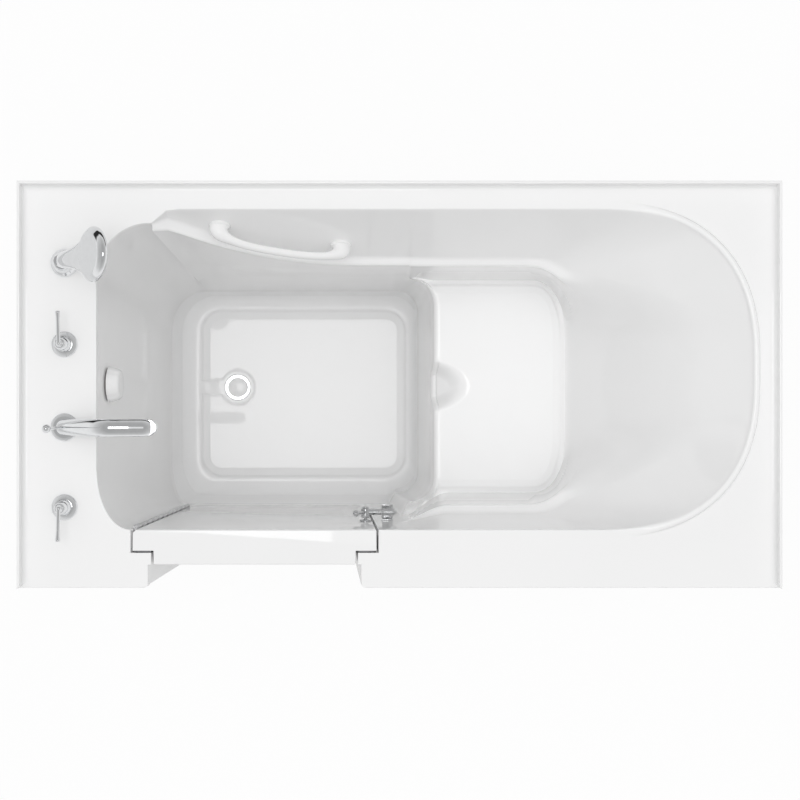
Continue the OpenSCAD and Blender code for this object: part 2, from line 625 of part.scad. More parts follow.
module pipe(points, r) for (i = [0:len(points) - 2]) let (v = points[i + 1] - points[i]) {
    translate(points[i]) rotate([0, acos(v.z / norm(v)), atan2(v.y, v.x)]) cylinder(r = r, h = norm(v));
    if (i > 0) translate(points[i]) sphere(r = r);
}
module stopper_cable() color(rubber) pipe([
    [x_stack, y_waste, z_over - 60], [x_stack, y_waste, z_waste],
    [x_drain, y_waste, z_waste], [x_drain, y_waste, floor_h + stop_z - 30 - seat_gap]], cable_r);
module overflow_knob() color(acrylic) at_overflow() {
    difference() {
        rotate_extrude() polygon([[0, 4.4], [overflow_r, 4.4], [overflow_r, 20], [overflow_r - 2, 25],
            [overflow_r - 7, 28], [0, 28]]);
        translate([0, 0, 3]) cylinder(r = overflow_r - 6, h = 6);
        for (a = [0:45:315]) rotate(a) translate([overflow_r - 4, -5, 3]) cube([8, 10, 5]);
    }
    translate([0, 0, -17]) difference() {
        cylinder(r = knob_bore - run, h = 27);
        translate([0, 0, -1]) cylinder(r = knob_bore - 3, h = 20);
    }
}

// ---- hinge ----
slack = 0.06;        // keeps the leaves off the edges they are screwed to
module leaf(side) {
    x0 = side > 0 ? 2 - hinge_leaf_t - slack : slack - 2;
    translate([x0, -7 - 29, z_hinge_low]) cube([hinge_leaf_t, 29, hinge_l]);
    for (k = [side > 0 ? 1 : 0 : 2 : knuckles - 1]) translate([0, 0, z_hinge_low + k * knuckle_l + 0.2]) {
        cylinder(r = barrel_r, h = knuckle_l - 0.4);
        translate([x0, -7.5, 0]) cube([hinge_leaf_t, 5, knuckle_l - 0.4]);
    }
}
module hinge_leaf(side) on_hinge() difference() {
    leaf(side);
    translate([0, 0, z_hinge_low - 1]) cylinder(r = hinge_pin_r + run, h = hinge_l + 2);
}
module hinge_frame_leaf() color(steel) leaf_holes(-1) hinge_leaf(-1);
module hinge_door_leaf() color(steel) leaf_holes(1) hinge_leaf(1);
leaf_face = 2 - hinge_leaf_t - slack;          // distance of a leaf's bare face from the axis
module leaf_holes(side) difference() {
    children();
    for (z = screw_z) hinge_screw_at(z) rotate([0, side * 90 - 90, 0]) translate([0, 0, leaf_face]) {
        translate([0, 0, -0.1]) cylinder(r1 = screw_r + 1.5, r2 = screw_r + 0.1, h = 1.4);
        cylinder(r = screw_r + 0.1, h = 3);
    }
}
module hinge_screws(side, l) for (z = screw_z)
    hinge_screw_at(z) rotate([0, side * 90 - 90, 0]) translate([0, 0, leaf_face]) {
        translate([0, 0, 0.1]) cylinder(r1 = screw_r + 1.2, r2 = screw_r, h = 1.1);
        translate([0, 0, 0.1]) cylinder(r = screw_r, h = l);
    }
module hinge_frame_screws() color(steel) hinge_screws(-1, 9);
module hinge_door_screws() color(steel) hinge_screws(1, 11);
module hinge_pin() color(steel) on_hinge() translate([0, 0, z_hinge_low - 2]) {
    cylinder(r = hinge_pin_r, h = hinge_l + 3);
    translate([0, 0, hinge_l + 2.3]) cylinder(r = barrel_r - 0.5, h = 2.5);
}

// ---- door ----
z_latch = deck_h - 230;
x_latch = door_x1 - latch_lean * 0.29 - 15;
latch_pin_r = 4;
module door_inner_panel() color(acrylic) difference() {
    slab(0, y_step, y_leaf, deck_h);
    slab(-door_skin, y_step - 1, y_leaf - door_skin, deck_h - door_skin);
    on_hinge() translate([2, -1, -deck_h]) linear_extrude(2 * deck_h)
        polygon([[chamfer + 3, 3], [-3, 3], [-3, -chamfer - 3]]);
    for (z = screw_z) hinge_screw_at(z) translate([0, 0, 2]) cylinder(r = screw_r + 0.1, h = 12);
}
module door_outer_panel() color(acrylic) difference() {
    slab(-door_step, y_plug, y_step, deck_h);
    slab(-door_step - door_skin, y_plug + door_skin, y_step + 1, deck_h - door_skin);
}
stiff = 18;
module door_stiffener() color(steel) on_hinge() difference() {
    translate([2 + door_skin + fit, -leaf_t + 1 + fit, z_hinge_low])
        cube([stiff, leaf_t - door_skin - 4, hinge_l]);
    translate([2 + door_skin + fit + 3, -leaf_t, z_hinge_low - 1])
        cube([stiff, leaf_t - door_skin - 7, hinge_l + 2]);
    for (z = screw_z) translate([0, y_screw, z]) rotate([0, 90, 0]) cylinder(r = screw_r + 0.1, h = 14);
}
module door_gasket() color(rubber) difference() {
    slab(-4, y_step - gasket_t, y_step, deck_h - 3);
    slab(-door_step + 6, y_step - 9, y_step + 9, deck_h + over);
}

// ---- latch ----
tail_l = 66;
latch_stand = 20;
ball_r = 7;
module at_latch() translate([x_latch, y_leaf, z_latch]) rotate([90, 0, 0]) children();
module latch_base() color(chrome) at_latch() difference() {
    translate([0, 0, -3.6]) cylinder(r = 13, h = 3.5);
    translate([0, 0, -9]) cylinder(r = latch_pin_r + run, h = 12);
}
module latch_pivot() color(chrome) at_latch() {
    translate([0, 0, -28]) cylinder(r = latch_pin_r, h = 27.9);
    translate([0, 0, -31]) cylinder(r = 6.5, h = 3);
}
arm_a = 112;
module latch_lever() color(chrome) at_latch() difference() {
    union() {
        translate([0, 0, -27.7]) cylinder(r = 9.5, h = 20);
        translate([0, 0, -latch_stand]) rotate([0, 90, 0]) cylinder(r = 6, h = tail_l - 7);
        translate([tail_l - 27, 0, -latch_stand]) rotate([0, 90, 0]) cylinder(r = 7.2, h = 20);
        translate([tail_l - 7, 0, -latch_stand]) sphere(r = 7.2);
        translate([0, 0, -latch_stand]) rotate([0, 90, arm_a]) cylinder(r = 3.6, h = 46);
    }
    translate([0, 0, -30]) cylinder(r = latch_pin_r + run, h = 30);
}
module latch_ball() color(chrome) at_latch() rotate(arm_a) translate([50.5, 0, -latch_stand]) rotate([0, 90, 0])
    difference() {
        sphere(r = ball_r, $fn = 96);
        translate([0, 0, -12]) cylinder(r = 3.6 + run, h = 7.6);
    }
keep_x = x_latch + 34;
keep_w = 24;
module latch_keeper() color(chrome) translate([keep_x, y_front + 0.2, z_latch - 62]) difference() {
    union() {
        cube([keep_w, 3, 42]);
        cube([keep_w, 34, 3]);
        translate([0, 31, 0]) cube([keep_w, 3, 36]);
    }
    for (z = [12, 32]) translate([keep_w / 2, -5, z]) rotate([-90, 0, 0]) cylinder(r = 2.3, h = 12);
}
module keeper_screws() color(steel) for (z = [12, 32])
    translate([keep_x + keep_w / 2, y_front + 3.2, z_latch - 62 + z]) rotate([-90, 0, 0]) {
        translate([0, 0, 0.05]) cylinder(r1 = 4.2, r2 = 3, h = 1.8);
        translate([0, 0, -3.1]) cylinder(r = 2.1, h = 4);
    }

// ---- taps ----
esc_h = 9;
module escutcheon(y) color(chrome) at_taps(y) difference() {
    rotate_extrude() polygon([[0, 0.1], [25.5, 0.1], [26.5, 1.5], [25, 4.5], [20, 7.5], [17, esc_h], [0, esc_h]]);
    translate([0, 0, -1]) cylinder(r = 14.3, h = 20);
}
module hot_escutcheon() escutcheon(y_hot);
module cold_escutcheon() escutcheon(y_cold);
stem_r = 5;
body_d = 84;         // depth of a valve below the deck
inlet_r = 7.94;
mixer_z = -70;       // height of the pipes that join the valves to the spout
module valve(y, side) color(brass) at_taps(y) union() {
    translate([0, 0, -body_d]) cylinder(r = 14, h = body_d + esc_h - 1);
    cylinder(r = stem_r, h = hub_h - 12);
    translate([0, 0, -body_d - 45]) cylinder(r = inlet_r, h = 46);
    translate([0, 0, mixer_z]) rotate([-90 * side, 0, 0]) cylinder(r = 10, h = 24);
}
module hot_valve() valve(y_hot, 1);
module cold_valve() valve(y_cold, -1);
module valve_nuts() color(brass) for (y = [y_hot, y_cold]) at_taps(y)
    translate([0, 0, -shell_t - 9.1]) difference() {
        cylinder(r = 24, h = 9, $fn = 6);
        translate([0, 0, -1]) cylinder(r = 14 + run, h = 12);
    }
hub_z = esc_h + 0.6;
module hub(y) color(chrome) at_taps(y) difference() {
    rotate_extrude() polygon([[0, hub_z], [15.5, hub_z], [15.5, hub_z + 8], [13, hub_z + 20],
        [11.5, hub_h - 6], [10, hub_h - 1.5], [7.5, hub_h], [0, hub_h]]);
    translate([0, 0, hub_z - 1]) cylinder(r = stem_r + run, h = hub_h - 12 - hub_z + 1 + fit);
}
module lever(y, side) color(chrome) at_taps(y) translate([0, 0, hub_h + 0.05]) {
    cylinder(r1 = 7.4, r2 = 5.5, h = 3);
    translate([0, 0, 6]) rotate([-82 * side, 0, 0]) {
        cylinder(r1 = 4, r2 = 3.5, h = lever_reach * 0.7);
        translate([0, 0, lever_reach * 0.7]) cylinder(r1 = 3.5, r2 = 5, h = lever_reach * 0.3);
    }
    sphere(r = 5);
    translate([0, 0, 4.5]) sphere(r = 5.4);
}
module hot_hub() hub(y_hot);
module cold_hub() hub(y_cold);
module hot_lever() lever_clear(y_hot) lever(y_hot, -1);
module cold_lever() lever_clear(y_cold) lever(y_cold, 1);
module lever_clear(y) difference() {
    children();
    at_taps(y) translate([0, 0, hub_h - 12]) cylinder(r = 12, h = 12.05);
}
module spout_flange() color(chrome) at_taps(y_spout) difference() {
    rotate_extrude() polygon([[0, 0.1], [27.5, 0.1], [28.5, 2], [27, 5], [21, 8], [0, 8]]);
    translate([0, 0, -1]) cylinder(r = 15.3, h = 20);
}
spout_n = 16;
spout_m = 20;
spout_up = 89;
spout_seat = 8.3;    // the bend starts this far above the deck
rod_r = 2.6;
module spout_body() color(chrome) at_taps(y_spout) difference() {
    union() {
        translate([0, 0, -58]) cylinder(r = 15, h = 58 + spout_seat + 4);
        skin([for (k = [0:spout_n]) let (
                u = k / spout_n, a = 90 * ease(u * 2.2),
                x = spout_reach * pow(max(0, u - 0.12) / 0.88, 1.15) * 0.93,
                z = spout_seat + (spout_up - spout_seat) * ease(u * 1.5) - 16 * pow(u, 4),
                half = mix(14.9, spout_w / 2, ease(u * 2)),
                thick = mix(14.9, 9.5, ease(u * 2)), end = u > 0.92 ? 0.93 : 1)
            oval([x, 0, z], [sin(a), 0, cos(a)], [0, 1, 0], half * end, thick * end, spout_m)]);
        translate([spout_reach - spout_w / 2 - 2, 0, spout_up - 28]) cylinder(r = spout_w / 2 - 1, h = 16);
    }
    translate([spout_reach - spout_w / 2 - 2, 0, spout_up - 31]) cylinder(r = 12.4, h = 14);
    translate([0, 0, -60]) cylinder(r = rod_r + run, h = 200);
}
module spout_nut() color(brass) at_taps(y_spout) translate([0, 0, -shell_t - 9.1]) difference() {
    cylinder(r = 25, h = 9, $fn = 6);
    translate([0, 0, -1]) cylinder(r = 15 + run, h = 12);
}
module aerator() color(chrome) at_taps(y_spout)
    translate([spout_reach - spout_w / 2 - 2, 0, spout_up - 31.5]) difference() {
        cylinder(r = 12.3, h = 12);
        translate([0, 0, -1]) cylinder(r = 10, h = 4);
    }
module diverter_tee() color(brass) at_taps(y_spout) difference() {
    union() {
        translate([0, 0, -100]) cylinder(r = 19, h = 54);
        for (a = [90, -90]) translate([0, 0, mixer_z]) rotate([a, 0, 0]) cylinder(r = 10, h = 26);
        translate([0, 0, -84]) rotate([0, -90, 0]) cylinder(r = 10, h = 26);
    }
    translate([0, 0, -60]) cylinder(r = 15 + run, h = 20);
    translate([0, 0, -96]) cylinder(r = rod_r + 1, h = 90);
}
rod_low = -80;
module diverter_rod() color(chrome) at_taps(y_spout) translate([0, 0, rod_low])
    cylinder(r = rod_r, h = diverter_h - rod_low - 6);
module diverter_knob() color(chrome) at_taps(y_spout) translate([0, 0, diverter_h]) difference() {
    sphere(r = 8.4);
    translate([0, 0, -20]) cylinder(r = rod_r + run, h = 14.05);
}
module mixer_pipes() color(copper) for (y = [[y_hot + 24.2, y_spout - 26.2], [y_spout + 26.2, y_cold - 24.2]])
    translate([x_taps, y[0], deck_h + mixer_z]) rotate([-90, 0, 0]) cylinder(r = inlet_r, h = y[1] - y[0]);
holder_low = 62;
module shower_pipe() color(copper) pipe([
    [x_taps - 26.2, y_spout, deck_h - 84], [x_taps - 40, y_spout, deck_h - 84],
    [x_taps - 40, y_shower, deck_h - 84], [x_taps, y_shower, deck_h - 84],
    [x_taps, y_shower, deck_h - holder_low - 0.2]], inlet_r);

// ---- hand shower ----
handle_r = 11.5;
cup_h = 34;
module shower_holder() color(chrome) at_taps(y_shower) difference() {
    union() {
        translate([0, 0, -holder_low]) cylinder(r = 15, h = holder_low + 2);
        rotate_extrude() polygon([[0, 0.1], [27.5, 0.1], [28.5, 2.5], [27, 8], [21, 14], [17, 22],
            [15.5, cup_h], [0, cup_h]]);
    }
    translate([0, 0, 2]) cylinder(r = handle_r + fit + run, h = cup_h);
    translate([0, 0, -holder_low + 8]) cylinder(r = 8, h = holder_low + 4);
}
module holder_nut() color(brass) at_taps(y_shower) translate([0, 0, -shell_t - 9.1]) difference() {
    cylinder(r = 25, h = 9, $fn = 6);
    translate([0, 0, -1]) cylinder(r = 15 + run, h = 12);
}
face_tilt = 54;
head_n = 10;
head_m = 20;
head_reach = 93;
head_c = [head_reach, 0, shower_rise];
head_d = [cos(face_tilt), 0, sin(face_tilt)];   // from the handle across the face
head_up = [-sin(face_tilt), 0, cos(face_tilt)]; // out of the flat back
head_t = 22;
neck_n = 8;
module hand_shower() color(chrome) at_taps(y_shower) difference() {
    union() {
        translate([0, 0, 2.4]) cylinder(r = handle_r, h = cup_h + 20);
        skin([for (k = [0:neck_n]) let (
                u = k / neck_n, a = [0, 0, cup_h + 8], b = head_c - head_d * shower_d * 0.18,
                m = [5, 0, a.z + 30],
                p = mix(mix(a, m, u), mix(m, b, u), u),
                d = mix([0, 0, 1], head_d, ease(u)),
                w = mix(handle_r + 0.4, shower_d * 0.48, pow(u, 1.9)),
                th = mix(handle_r + 0.4, head_t * 0.42, ease(u * 1.4)))
            oval(p, d, [0, 1, 0], w, th, head_m)]);
        translate(head_c) rotate([0, -face_tilt, 0]) translate([0, 0, -head_t / 2])
            rotate_extrude($fn = 64) polygon([[0, 1.5], [shower_d / 2 - 9, 1.5], [shower_d / 2 - 2, 4],
                [shower_d / 2, 9], [shower_d / 2 - 1.5, 15], [shower_d / 2 - 8, 20], [shower_d / 2 - 12, head_t],
                [0, head_t]]);
    }
    translate(head_c) rotate([0, -face_tilt, 0]) translate([0, 0, -head_t / 2 - 1])
        cylinder(r = shower_d / 2 - 11.8, h = 4.6);
}
module spray_plate() color(acrylic) at_taps(y_shower) translate(head_c) rotate([0, -face_tilt, 0])
    translate([0, 0, -head_t / 2 + 0.4]) cylinder(r = shower_d / 2 - 12, h = 3.1);

// ---- all the pieces ----
tub_shell();
front_panel();
door_frame();
base_frame();
frame_posts();
floor_board();
seat_board();
levelling_feet();
foot_locknuts();
panel_screws();
grab_bar();
grab_bar_bolts();
overflow_body();
overflow_gasket();
overflow_pipe();
waste_tee();
drain_shoe();
drain_gasket();
drain_flange();
stopper_cable();
hinge_frame_leaf();
hinge_frame_screws();
hinge_pin();
latch_keeper();
keeper_screws();
spout_body();
spout_flange();
spout_nut();
aerator();
diverter_tee();
hot_escutcheon();
cold_escutcheon();
hot_valve();
cold_valve();
valve_nuts();
mixer_pipes();
shower_pipe();
shower_holder();
holder_nut();
door_inner_panel();
door_outer_panel();
door_stiffener();
door_gasket();
hinge_door_leaf();
hinge_door_screws();
latch_base();
latch_pivot();
latch_lever();
latch_ball();
hot_hub();
hot_lever();
cold_hub();
cold_lever();
diverter_rod();
diverter_knob();
hand_shower();
spray_plate();
drain_stopper();
overflow_knob();
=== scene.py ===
"""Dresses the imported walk-in bathtub: shell, door, taps, spout, hand shower, latch, waste and studio."""

import math

import bmesh
import bpy
import numpy as np
from bpy.props import FloatProperty, FloatVectorProperty, PointerProperty
from mathutils import Matrix, Vector
from mathutils.geometry import delaunay_2d_cdt


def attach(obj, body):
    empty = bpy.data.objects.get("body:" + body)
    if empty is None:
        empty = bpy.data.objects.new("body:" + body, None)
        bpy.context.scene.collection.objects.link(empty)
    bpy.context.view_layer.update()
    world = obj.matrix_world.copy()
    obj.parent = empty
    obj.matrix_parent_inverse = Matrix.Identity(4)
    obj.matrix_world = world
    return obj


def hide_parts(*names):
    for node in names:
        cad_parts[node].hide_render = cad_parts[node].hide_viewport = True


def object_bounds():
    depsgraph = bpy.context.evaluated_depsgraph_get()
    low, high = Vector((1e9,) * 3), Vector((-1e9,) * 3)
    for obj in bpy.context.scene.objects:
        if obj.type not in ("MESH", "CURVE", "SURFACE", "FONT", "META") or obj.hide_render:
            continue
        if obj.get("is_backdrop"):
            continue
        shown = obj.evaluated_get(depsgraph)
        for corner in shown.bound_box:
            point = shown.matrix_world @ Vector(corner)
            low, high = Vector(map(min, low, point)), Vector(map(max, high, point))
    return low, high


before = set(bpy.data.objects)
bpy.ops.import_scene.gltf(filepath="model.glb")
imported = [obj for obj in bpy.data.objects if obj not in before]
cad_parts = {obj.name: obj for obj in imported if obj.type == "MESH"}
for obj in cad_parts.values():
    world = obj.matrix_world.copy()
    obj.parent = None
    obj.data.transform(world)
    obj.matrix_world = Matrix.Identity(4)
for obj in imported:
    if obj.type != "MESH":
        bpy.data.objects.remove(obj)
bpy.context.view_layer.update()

bl_info = {
    "name": "Walk-in bathtub dressing",
    "version": (1, 0, 0),
    "blender": (4, 5, 0),
    "location": "3D View > Sidebar > Bathtub",
    "description": "Builds the visible surfaces and finishes of a walk-in bathtub",
    "category": "Object",
}

MM = 0.001

# ---- sizes shared with the solids, in millimetres ----
TUB_L, TUB_W, DECK = 1524.0, 813.0, 965.0
SHELL_T = 6.0
FLANGE_H, SKIRT_H = 25.0, 30.0
X_TAP, X_HEAD = -607.0, 706.0
Y_FRONT, Y_BACK = -290.0, 352.0
FLOOR, SEAT, LEDGE, WALL_FOOT = 105.0, 537.0, 765.0, 165.0
X_SEAT, X_PILLAR, X_CROOK, X_REAR = 78.0, 2.0, 20.0, 368.0
BACK_SLOPE = 0.4
TAP_CORNER, BACK_CORNER, BACK_STEP = (68.0, 120.0), (107.0, 110.0), 28.0
HEAD_CORNER = (310.0, 300.0)
PIT_BACK = 242.0
BAY_SWING, Y_OUTER_BAY = 104, -240
X_FOOT, FOOT_CORNERS = X_TAP + 38, ((40, 110), (85, 105))
CLIMB_FROM, CLIMB_RUN = -60, 436
RECESS_R, CHANNEL_HALF = 39.5, 14.5
X_DRAIN, Y_WASTE = -409.0, 2.0


# ---- small numeric helpers ----
def mix(a, b, w):
    """A point or number part way from a to b."""
    return a + (b - a) * w


def ease(u):
    """Smooth ramp from 0 to 1."""
    c = max(0.0, min(1.0, u))
    return c * c * (3 - 2 * c)


def ramp(u):
    """Smooth ramp on arrays."""
    c = np.clip(u, 0, 1)
    return c * c * (3 - 2 * c)


def span(a, b, n):
    """n even places from a on, without b."""
    return [mix(a, b, i / n) for i in range(n)]


def full(a, b, n):
    """n even places from a to b."""
    return [mix(a, b, i / (n - 1)) for i in range(n)]


def polar(degrees):
    """Cosine and sine of an angle in degrees."""
    a = math.radians(degrees)
    return math.cos(a), math.sin(a)


def arc(x, y, r, start, end, n):
    """Points of a circle about x, y, both ends included."""
    return [(x + r * c, y + r * s) for c, s in map(polar, full(start, end, n))]


def bend(centre, a, b, start, n, e=2.0):
    """Quarter of a superellipse in plan, without its last point."""
    turns = [polar(start + 90 * i / n) for i in range(n)]
    return [(centre[0] + a * math.copysign(abs(c) ** (2 / e), c),
             centre[1] + b * math.copysign(abs(s) ** (2 / e), s)) for c, s in turns]


# ---- rings round the well: every ring has the same stretches ----
N_CORNER, N_DOOR, N_SIDE, N_HEAD, N_END, N_TAP = 20, 18, 20, 34, 10, 14
I_SIDE = N_CORNER + N_DOOR
I_BACK = I_SIDE + 2 * N_SIDE + 2 * N_HEAD + N_END
I_BEND = I_BACK + N_CORNER
N_RING = I_BEND + N_CORNER + N_TAP


def crowded(a, b, n):
    """Places from a to b, close together near a."""
    return [a + (b - a) * (k / n) ** 1.5 for k in range(n)]


def bay(x, y, o):
    """Front line of the seat bay, from the doorway's wall to y; outer lines leave the wall sooner."""
    u = min(1.0, max(0.0, (x - X_PILLAR) / BAY_SWING))
    return mix(Y_FRONT - o, y - o, mix(ease(u), 1 - (1 - u) ** 2, 0.3) if y < Y_OUTER_BAY else ease(u))


def wide(x1, y0, y1, corner, e=2.0, o=0.0, yl=Y_BACK):
    """Outline with a straight seat bay and a round head end, outset by o; yl is its back at the taps."""
    x0 = X_TAP - o
    xa, xb, xc = X_TAP + TAP_CORNER[0], X_TAP + BACK_CORNER[0], x1 - corner[0]
    ya, yb = y0 + corner[1], y1 - corner[1]
    return np.array(
        bend((xa, Y_FRONT + TAP_CORNER[1]), TAP_CORNER[0] + o, TAP_CORNER[1] + o, 180, N_CORNER)
        + [(x, Y_FRONT - o) for x in span(xa, X_PILLAR, N_DOOR)]
        + [(x, bay(x, y0, o)) for x in crowded(X_PILLAR, xc, N_SIDE)]
        + bend((xc, ya), corner[0] + o, corner[1] + o, 270, N_HEAD, e)
        + [(x1 + o, y) for y in span(ya, yb, N_END)]
        + bend((xc, yb), corner[0] + o, corner[1] + o, 0, N_HEAD, e)
        + back_line(xc, xb, y1 + o)
        + bend((xb, yl - BACK_CORNER[1]), BACK_CORNER[0] + o, BACK_CORNER[1] + o, 90, N_CORNER)
        + [(x0, y) for y in span(yl - BACK_CORNER[1], Y_FRONT + TAP_CORNER[1], N_TAP)])


def pit(x0, x1, y0, y1, tap, rear, front=(76, 82, 0.3), back=(46, 60)):
    """Outline of the footwell, whose head-end side is the front of the seat."""
    return np.array(
        bend((x0 + tap[0], y0 + tap[1]), tap[0], tap[1], 180, N_CORNER)
        + [(x, y0) for x in span(x0 + tap[0], x1 - front[0], N_DOOR)]
        + shoulder(x1, y0, front)
        + [(x1, y) for y in span(y0 + front[1], y1 - back[1], 2 * N_HEAD + N_END)]
        + bend((x1 - back[0], y1 - back[1]), back[0], back[1], 0, N_SIDE)
        + [(x, y1) for x in full(x1 - back[0], x0 + rear[0] + 4, N_CORNER)]
        + bend((x0 + rear[0], y1 - rear[1]), rear[0], rear[1], 90, N_CORNER)
        + [(x0, y) for y in span(y1 - rear[1], y0 + tap[1], N_TAP)])


def shoulder(x1, y0, front):
    """Corner of the footwell beside the seat: a short step in, if one is asked for, then a round corner."""
    if not front[2]:
        return bend((x1 - front[0], y0 + front[1]), front[0], front[1], 270, N_SIDE)
    n = max(2, int(N_SIDE * front[2]))
    r = (front[0] * 0.71, front[1] * 0.66)
    step = front[1] - r[1]
    xs = x1 - front[0]
    lead = [(mix(xs, x1 - r[0], k / n), y0 + step * ease(k / n)) for k in range(n)]
    return lead + bend((x1 - r[0], y0 + front[1]), r[0], r[1], 270, N_SIDE - n)


def elbow(a, c, b, n):
    """Square corner from a over c towards b, with its points crowded at c."""
    h = n // 2
    return ([tuple(mix(np.array(c), np.array(a), (1 - 2 * k / n) ** 3)) for k in range(h)]
            + [tuple(mix(np.array(c), np.array(b), (2 * k / n) ** 3)) for k in range(h)])


def back_line(xc, xb, y):
    """Stretch of every ring along the back wall, from the head corner to the corner at the tap end."""
    return ([(X_CROOK + (xc - X_CROOK) * (1 - k / N_SIDE) ** 1.5, y) for k in range(N_SIDE)]
            + [(x, y) for x in full(X_CROOK, xb + 4, N_CORNER)])


def edge(d, z_front, z_side=None):
    """Rectangle of the deck edge, inset by d; the sides may have their own height."""
    z_side = z_front if z_side is None else z_side
    x0, x1, y0, y1 = -TUB_L / 2 + d, TUB_L / 2 - d, -TUB_W / 2 + d, TUB_W / 2 - d
    xa, xb, xc = X_TAP + TAP_CORNER[0], X_TAP + BACK_CORNER[0], X_HEAD - HEAD_CORNER[0]
    ya, yb = Y_FRONT + TAP_CORNER[1], Y_BACK - BACK_STEP - BACK_CORNER[1]
    yc, yd = Y_FRONT + HEAD_CORNER[1], Y_BACK - HEAD_CORNER[1]
    plan = (elbow((x0, ya), (x0, y0), (xa, y0), N_CORNER)
            + [(x, y0) for x in span(xa, X_PILLAR, N_DOOR)]
            + [(x, y0) for x in crowded(X_PILLAR, xc, N_SIDE)]
            + elbow((xc, y0), (x1, y0), (x1, yc), N_HEAD)
            + [(x1, y) for y in span(yc, yd, N_END)]
            + elbow((x1, yd), (x1, y1), (xc, y1), N_HEAD)
            + back_line(xc, xb, y1)
            + elbow((xb, y1), (x0, y1), (x0, yb), N_CORNER)
            + [(x0, y) for y in span(yb, ya, N_TAP)])
    return np.array([(x, y, z_front if abs(y - y0) < 1e-6 and x0 < x < x1 else z_side) for x, y in plan])


def level(plan, z):
    """Puts a height on an outline; z is a number or one value per point."""
    return np.column_stack([plan, np.broadcast_to(z, len(plan))])


def rounded(stations, radii, steps):
    """Rows of points along polylines, one per ring point, with each corner rounded by a curve."""
    rows = []
    count = len(stations)
    for k in range(1, count - 1):
        before, here, after = stations[k - 1], stations[k], stations[k + 1]
        into, out = here - before, after - here
        li = np.linalg.norm(into, axis=1, keepdims=True)
        lo = np.linalg.norm(out, axis=1, keepdims=True)
        r = np.broadcast_to(np.asarray(radii[k], float), (len(here),))[:, None]
        ri, ro = np.minimum(r, li * 0.48), np.minimum(r, lo * 0.48)
        a = here - into / np.maximum(li, 1e-9) * ri
        b = here + out / np.maximum(lo, 1e-9) * ro
        for j in range(steps[k] + 1):
            t = j / steps[k]
            rows.append(a * (1 - t) ** 2 + here * 2 * t * (1 - t) + b * t ** 2)
    return [stations[0]] + rows + [stations[-1]]


# ---- shape of the seat, its scoop and the two raised pads ----
FRONT_LEAN = 33.0 / (SEAT - WALL_FOOT)
PAD_UP, PAD_DROP, PAD_MARGIN, CREST, CREST_RUN = 3.2, 3.0, 0.17, 2.0, 4
STEP_AT, STEP_RUN, SEAT_MARGIN, FLOOR_MARGIN = 10.5, 6, 26, 28
FINE_BANDS = ((-12.5, -2.5), (-28.5, -21.5))
SCOOP = (X_SEAT, 2.0, 88.0, 58.0)
SCOOP_POWER, SCOOP_DEPTH, SCOOP_EDGE = 1.6, 0.66, 0.62
DROP_X, DROP_Y, DROP_R, DROP_RUN, DROP_DEPTH = 24, -208, 54, 17, 42
SEAT_VALLEY = SEAT + PAD_UP - PAD_DROP - PAD_MARGIN * SEAT_MARGIN
FLOOR_VALLEY = FLOOR + PAD_UP - PAD_DROP - PAD_MARGIN * FLOOR_MARGIN
FLOOR_BOX = (-505, 21, -229, 202)
PAD_X, PAD_Y, PAD_MIDDLE = 294, 86.5, 0.5
BOW_X, BOW_Y = 78, 150


def scoop_reach(x, y):
    """0 at the middle of the scoop and 1 on its pointed outline."""
    u, w = np.maximum(x - SCOOP[0], 0) / SCOOP[2], np.abs(y - SCOOP[1]) / SCOOP[3]
    return (u ** SCOOP_POWER + w ** SCOOP_POWER) ** (1 / SCOOP_POWER)


def scoop(x, y):
    """Depth of the scoop in the seat's front edge."""
    q = scoop_reach(x, y)
    left = np.clip((SCOOP[0] + SCOOP[2] - x) / SCOOP[2], 0, 1)
    return SCOOP[2] * SCOOP_DEPTH * left ** 1.5 * ramp((1 - q) / SCOOP_EDGE)


def box_distance(x, y, x0, x1, y0, y1, r):
    """Signed distance to a rectangle with round corners, negative inside."""
    cx, cy, hx, hy = (x0 + x1) / 2, (y0 + y1) / 2, (x1 - x0) / 2 - r, (y1 - y0) / 2 - r
    dx, dy = np.abs(x - cx) - hx, np.abs(y - cy) - hy
    return np.hypot(np.maximum(dx, 0), np.maximum(dy, 0)) + np.minimum(np.maximum(dx, dy), 0) - r


def pad(distance, step, margin):
    """Height of a raised pad: flat top, sloping margin and a step down to the valley round it."""
    crest = CREST * (1 - ramp((distance + margin) / CREST_RUN)) * (distance > -margin)
    slope = -PAD_MARGIN * (np.clip(distance + margin, 0, margin) - crest)
    return PAD_UP + np.minimum(slope, 0) - PAD_DROP * ramp((step + STEP_AT) / STEP_RUN)


def seat_line(x, y):
    """Distance from the bowed outline of the seat's pad, negative inside."""
    off = np.abs(y - PAD_MIDDLE)
    u, w = np.maximum(x - PAD_X, 0) / BOW_X, np.maximum(off - PAD_Y, 0) / BOW_Y
    q = np.maximum((u ** 2.5 + w ** 2.5) ** 0.4, 1e-6)
    bow = (q - 1) / np.maximum(np.hypot((u / q) ** 1.5 / BOW_X, (w / q) ** 1.5 / BOW_Y), 1e-6)
    side = np.where((u > 0) & (w > 0), np.minimum(bow, 0), np.maximum(x - PAD_X - BOW_X, off - PAD_Y - BOW_Y))
    near = box_distance(x, y, -200, 372, -236, 237, 62)
    blend = ramp((x - 200) / 100)
    return near * (1 - blend) + np.minimum(side, 0) * blend


def corner_drop(x, y):
    """How far the seat falls away round the footwell's corner beside the doorway."""
    d = np.hypot(np.maximum(x - DROP_X, 0), np.maximum(DROP_Y - y, 0)) - DROP_R
    return DROP_DEPTH * ramp((-214 - y) / 34) * ramp((88 - x) / 40) * ramp(1 - d / DROP_RUN)


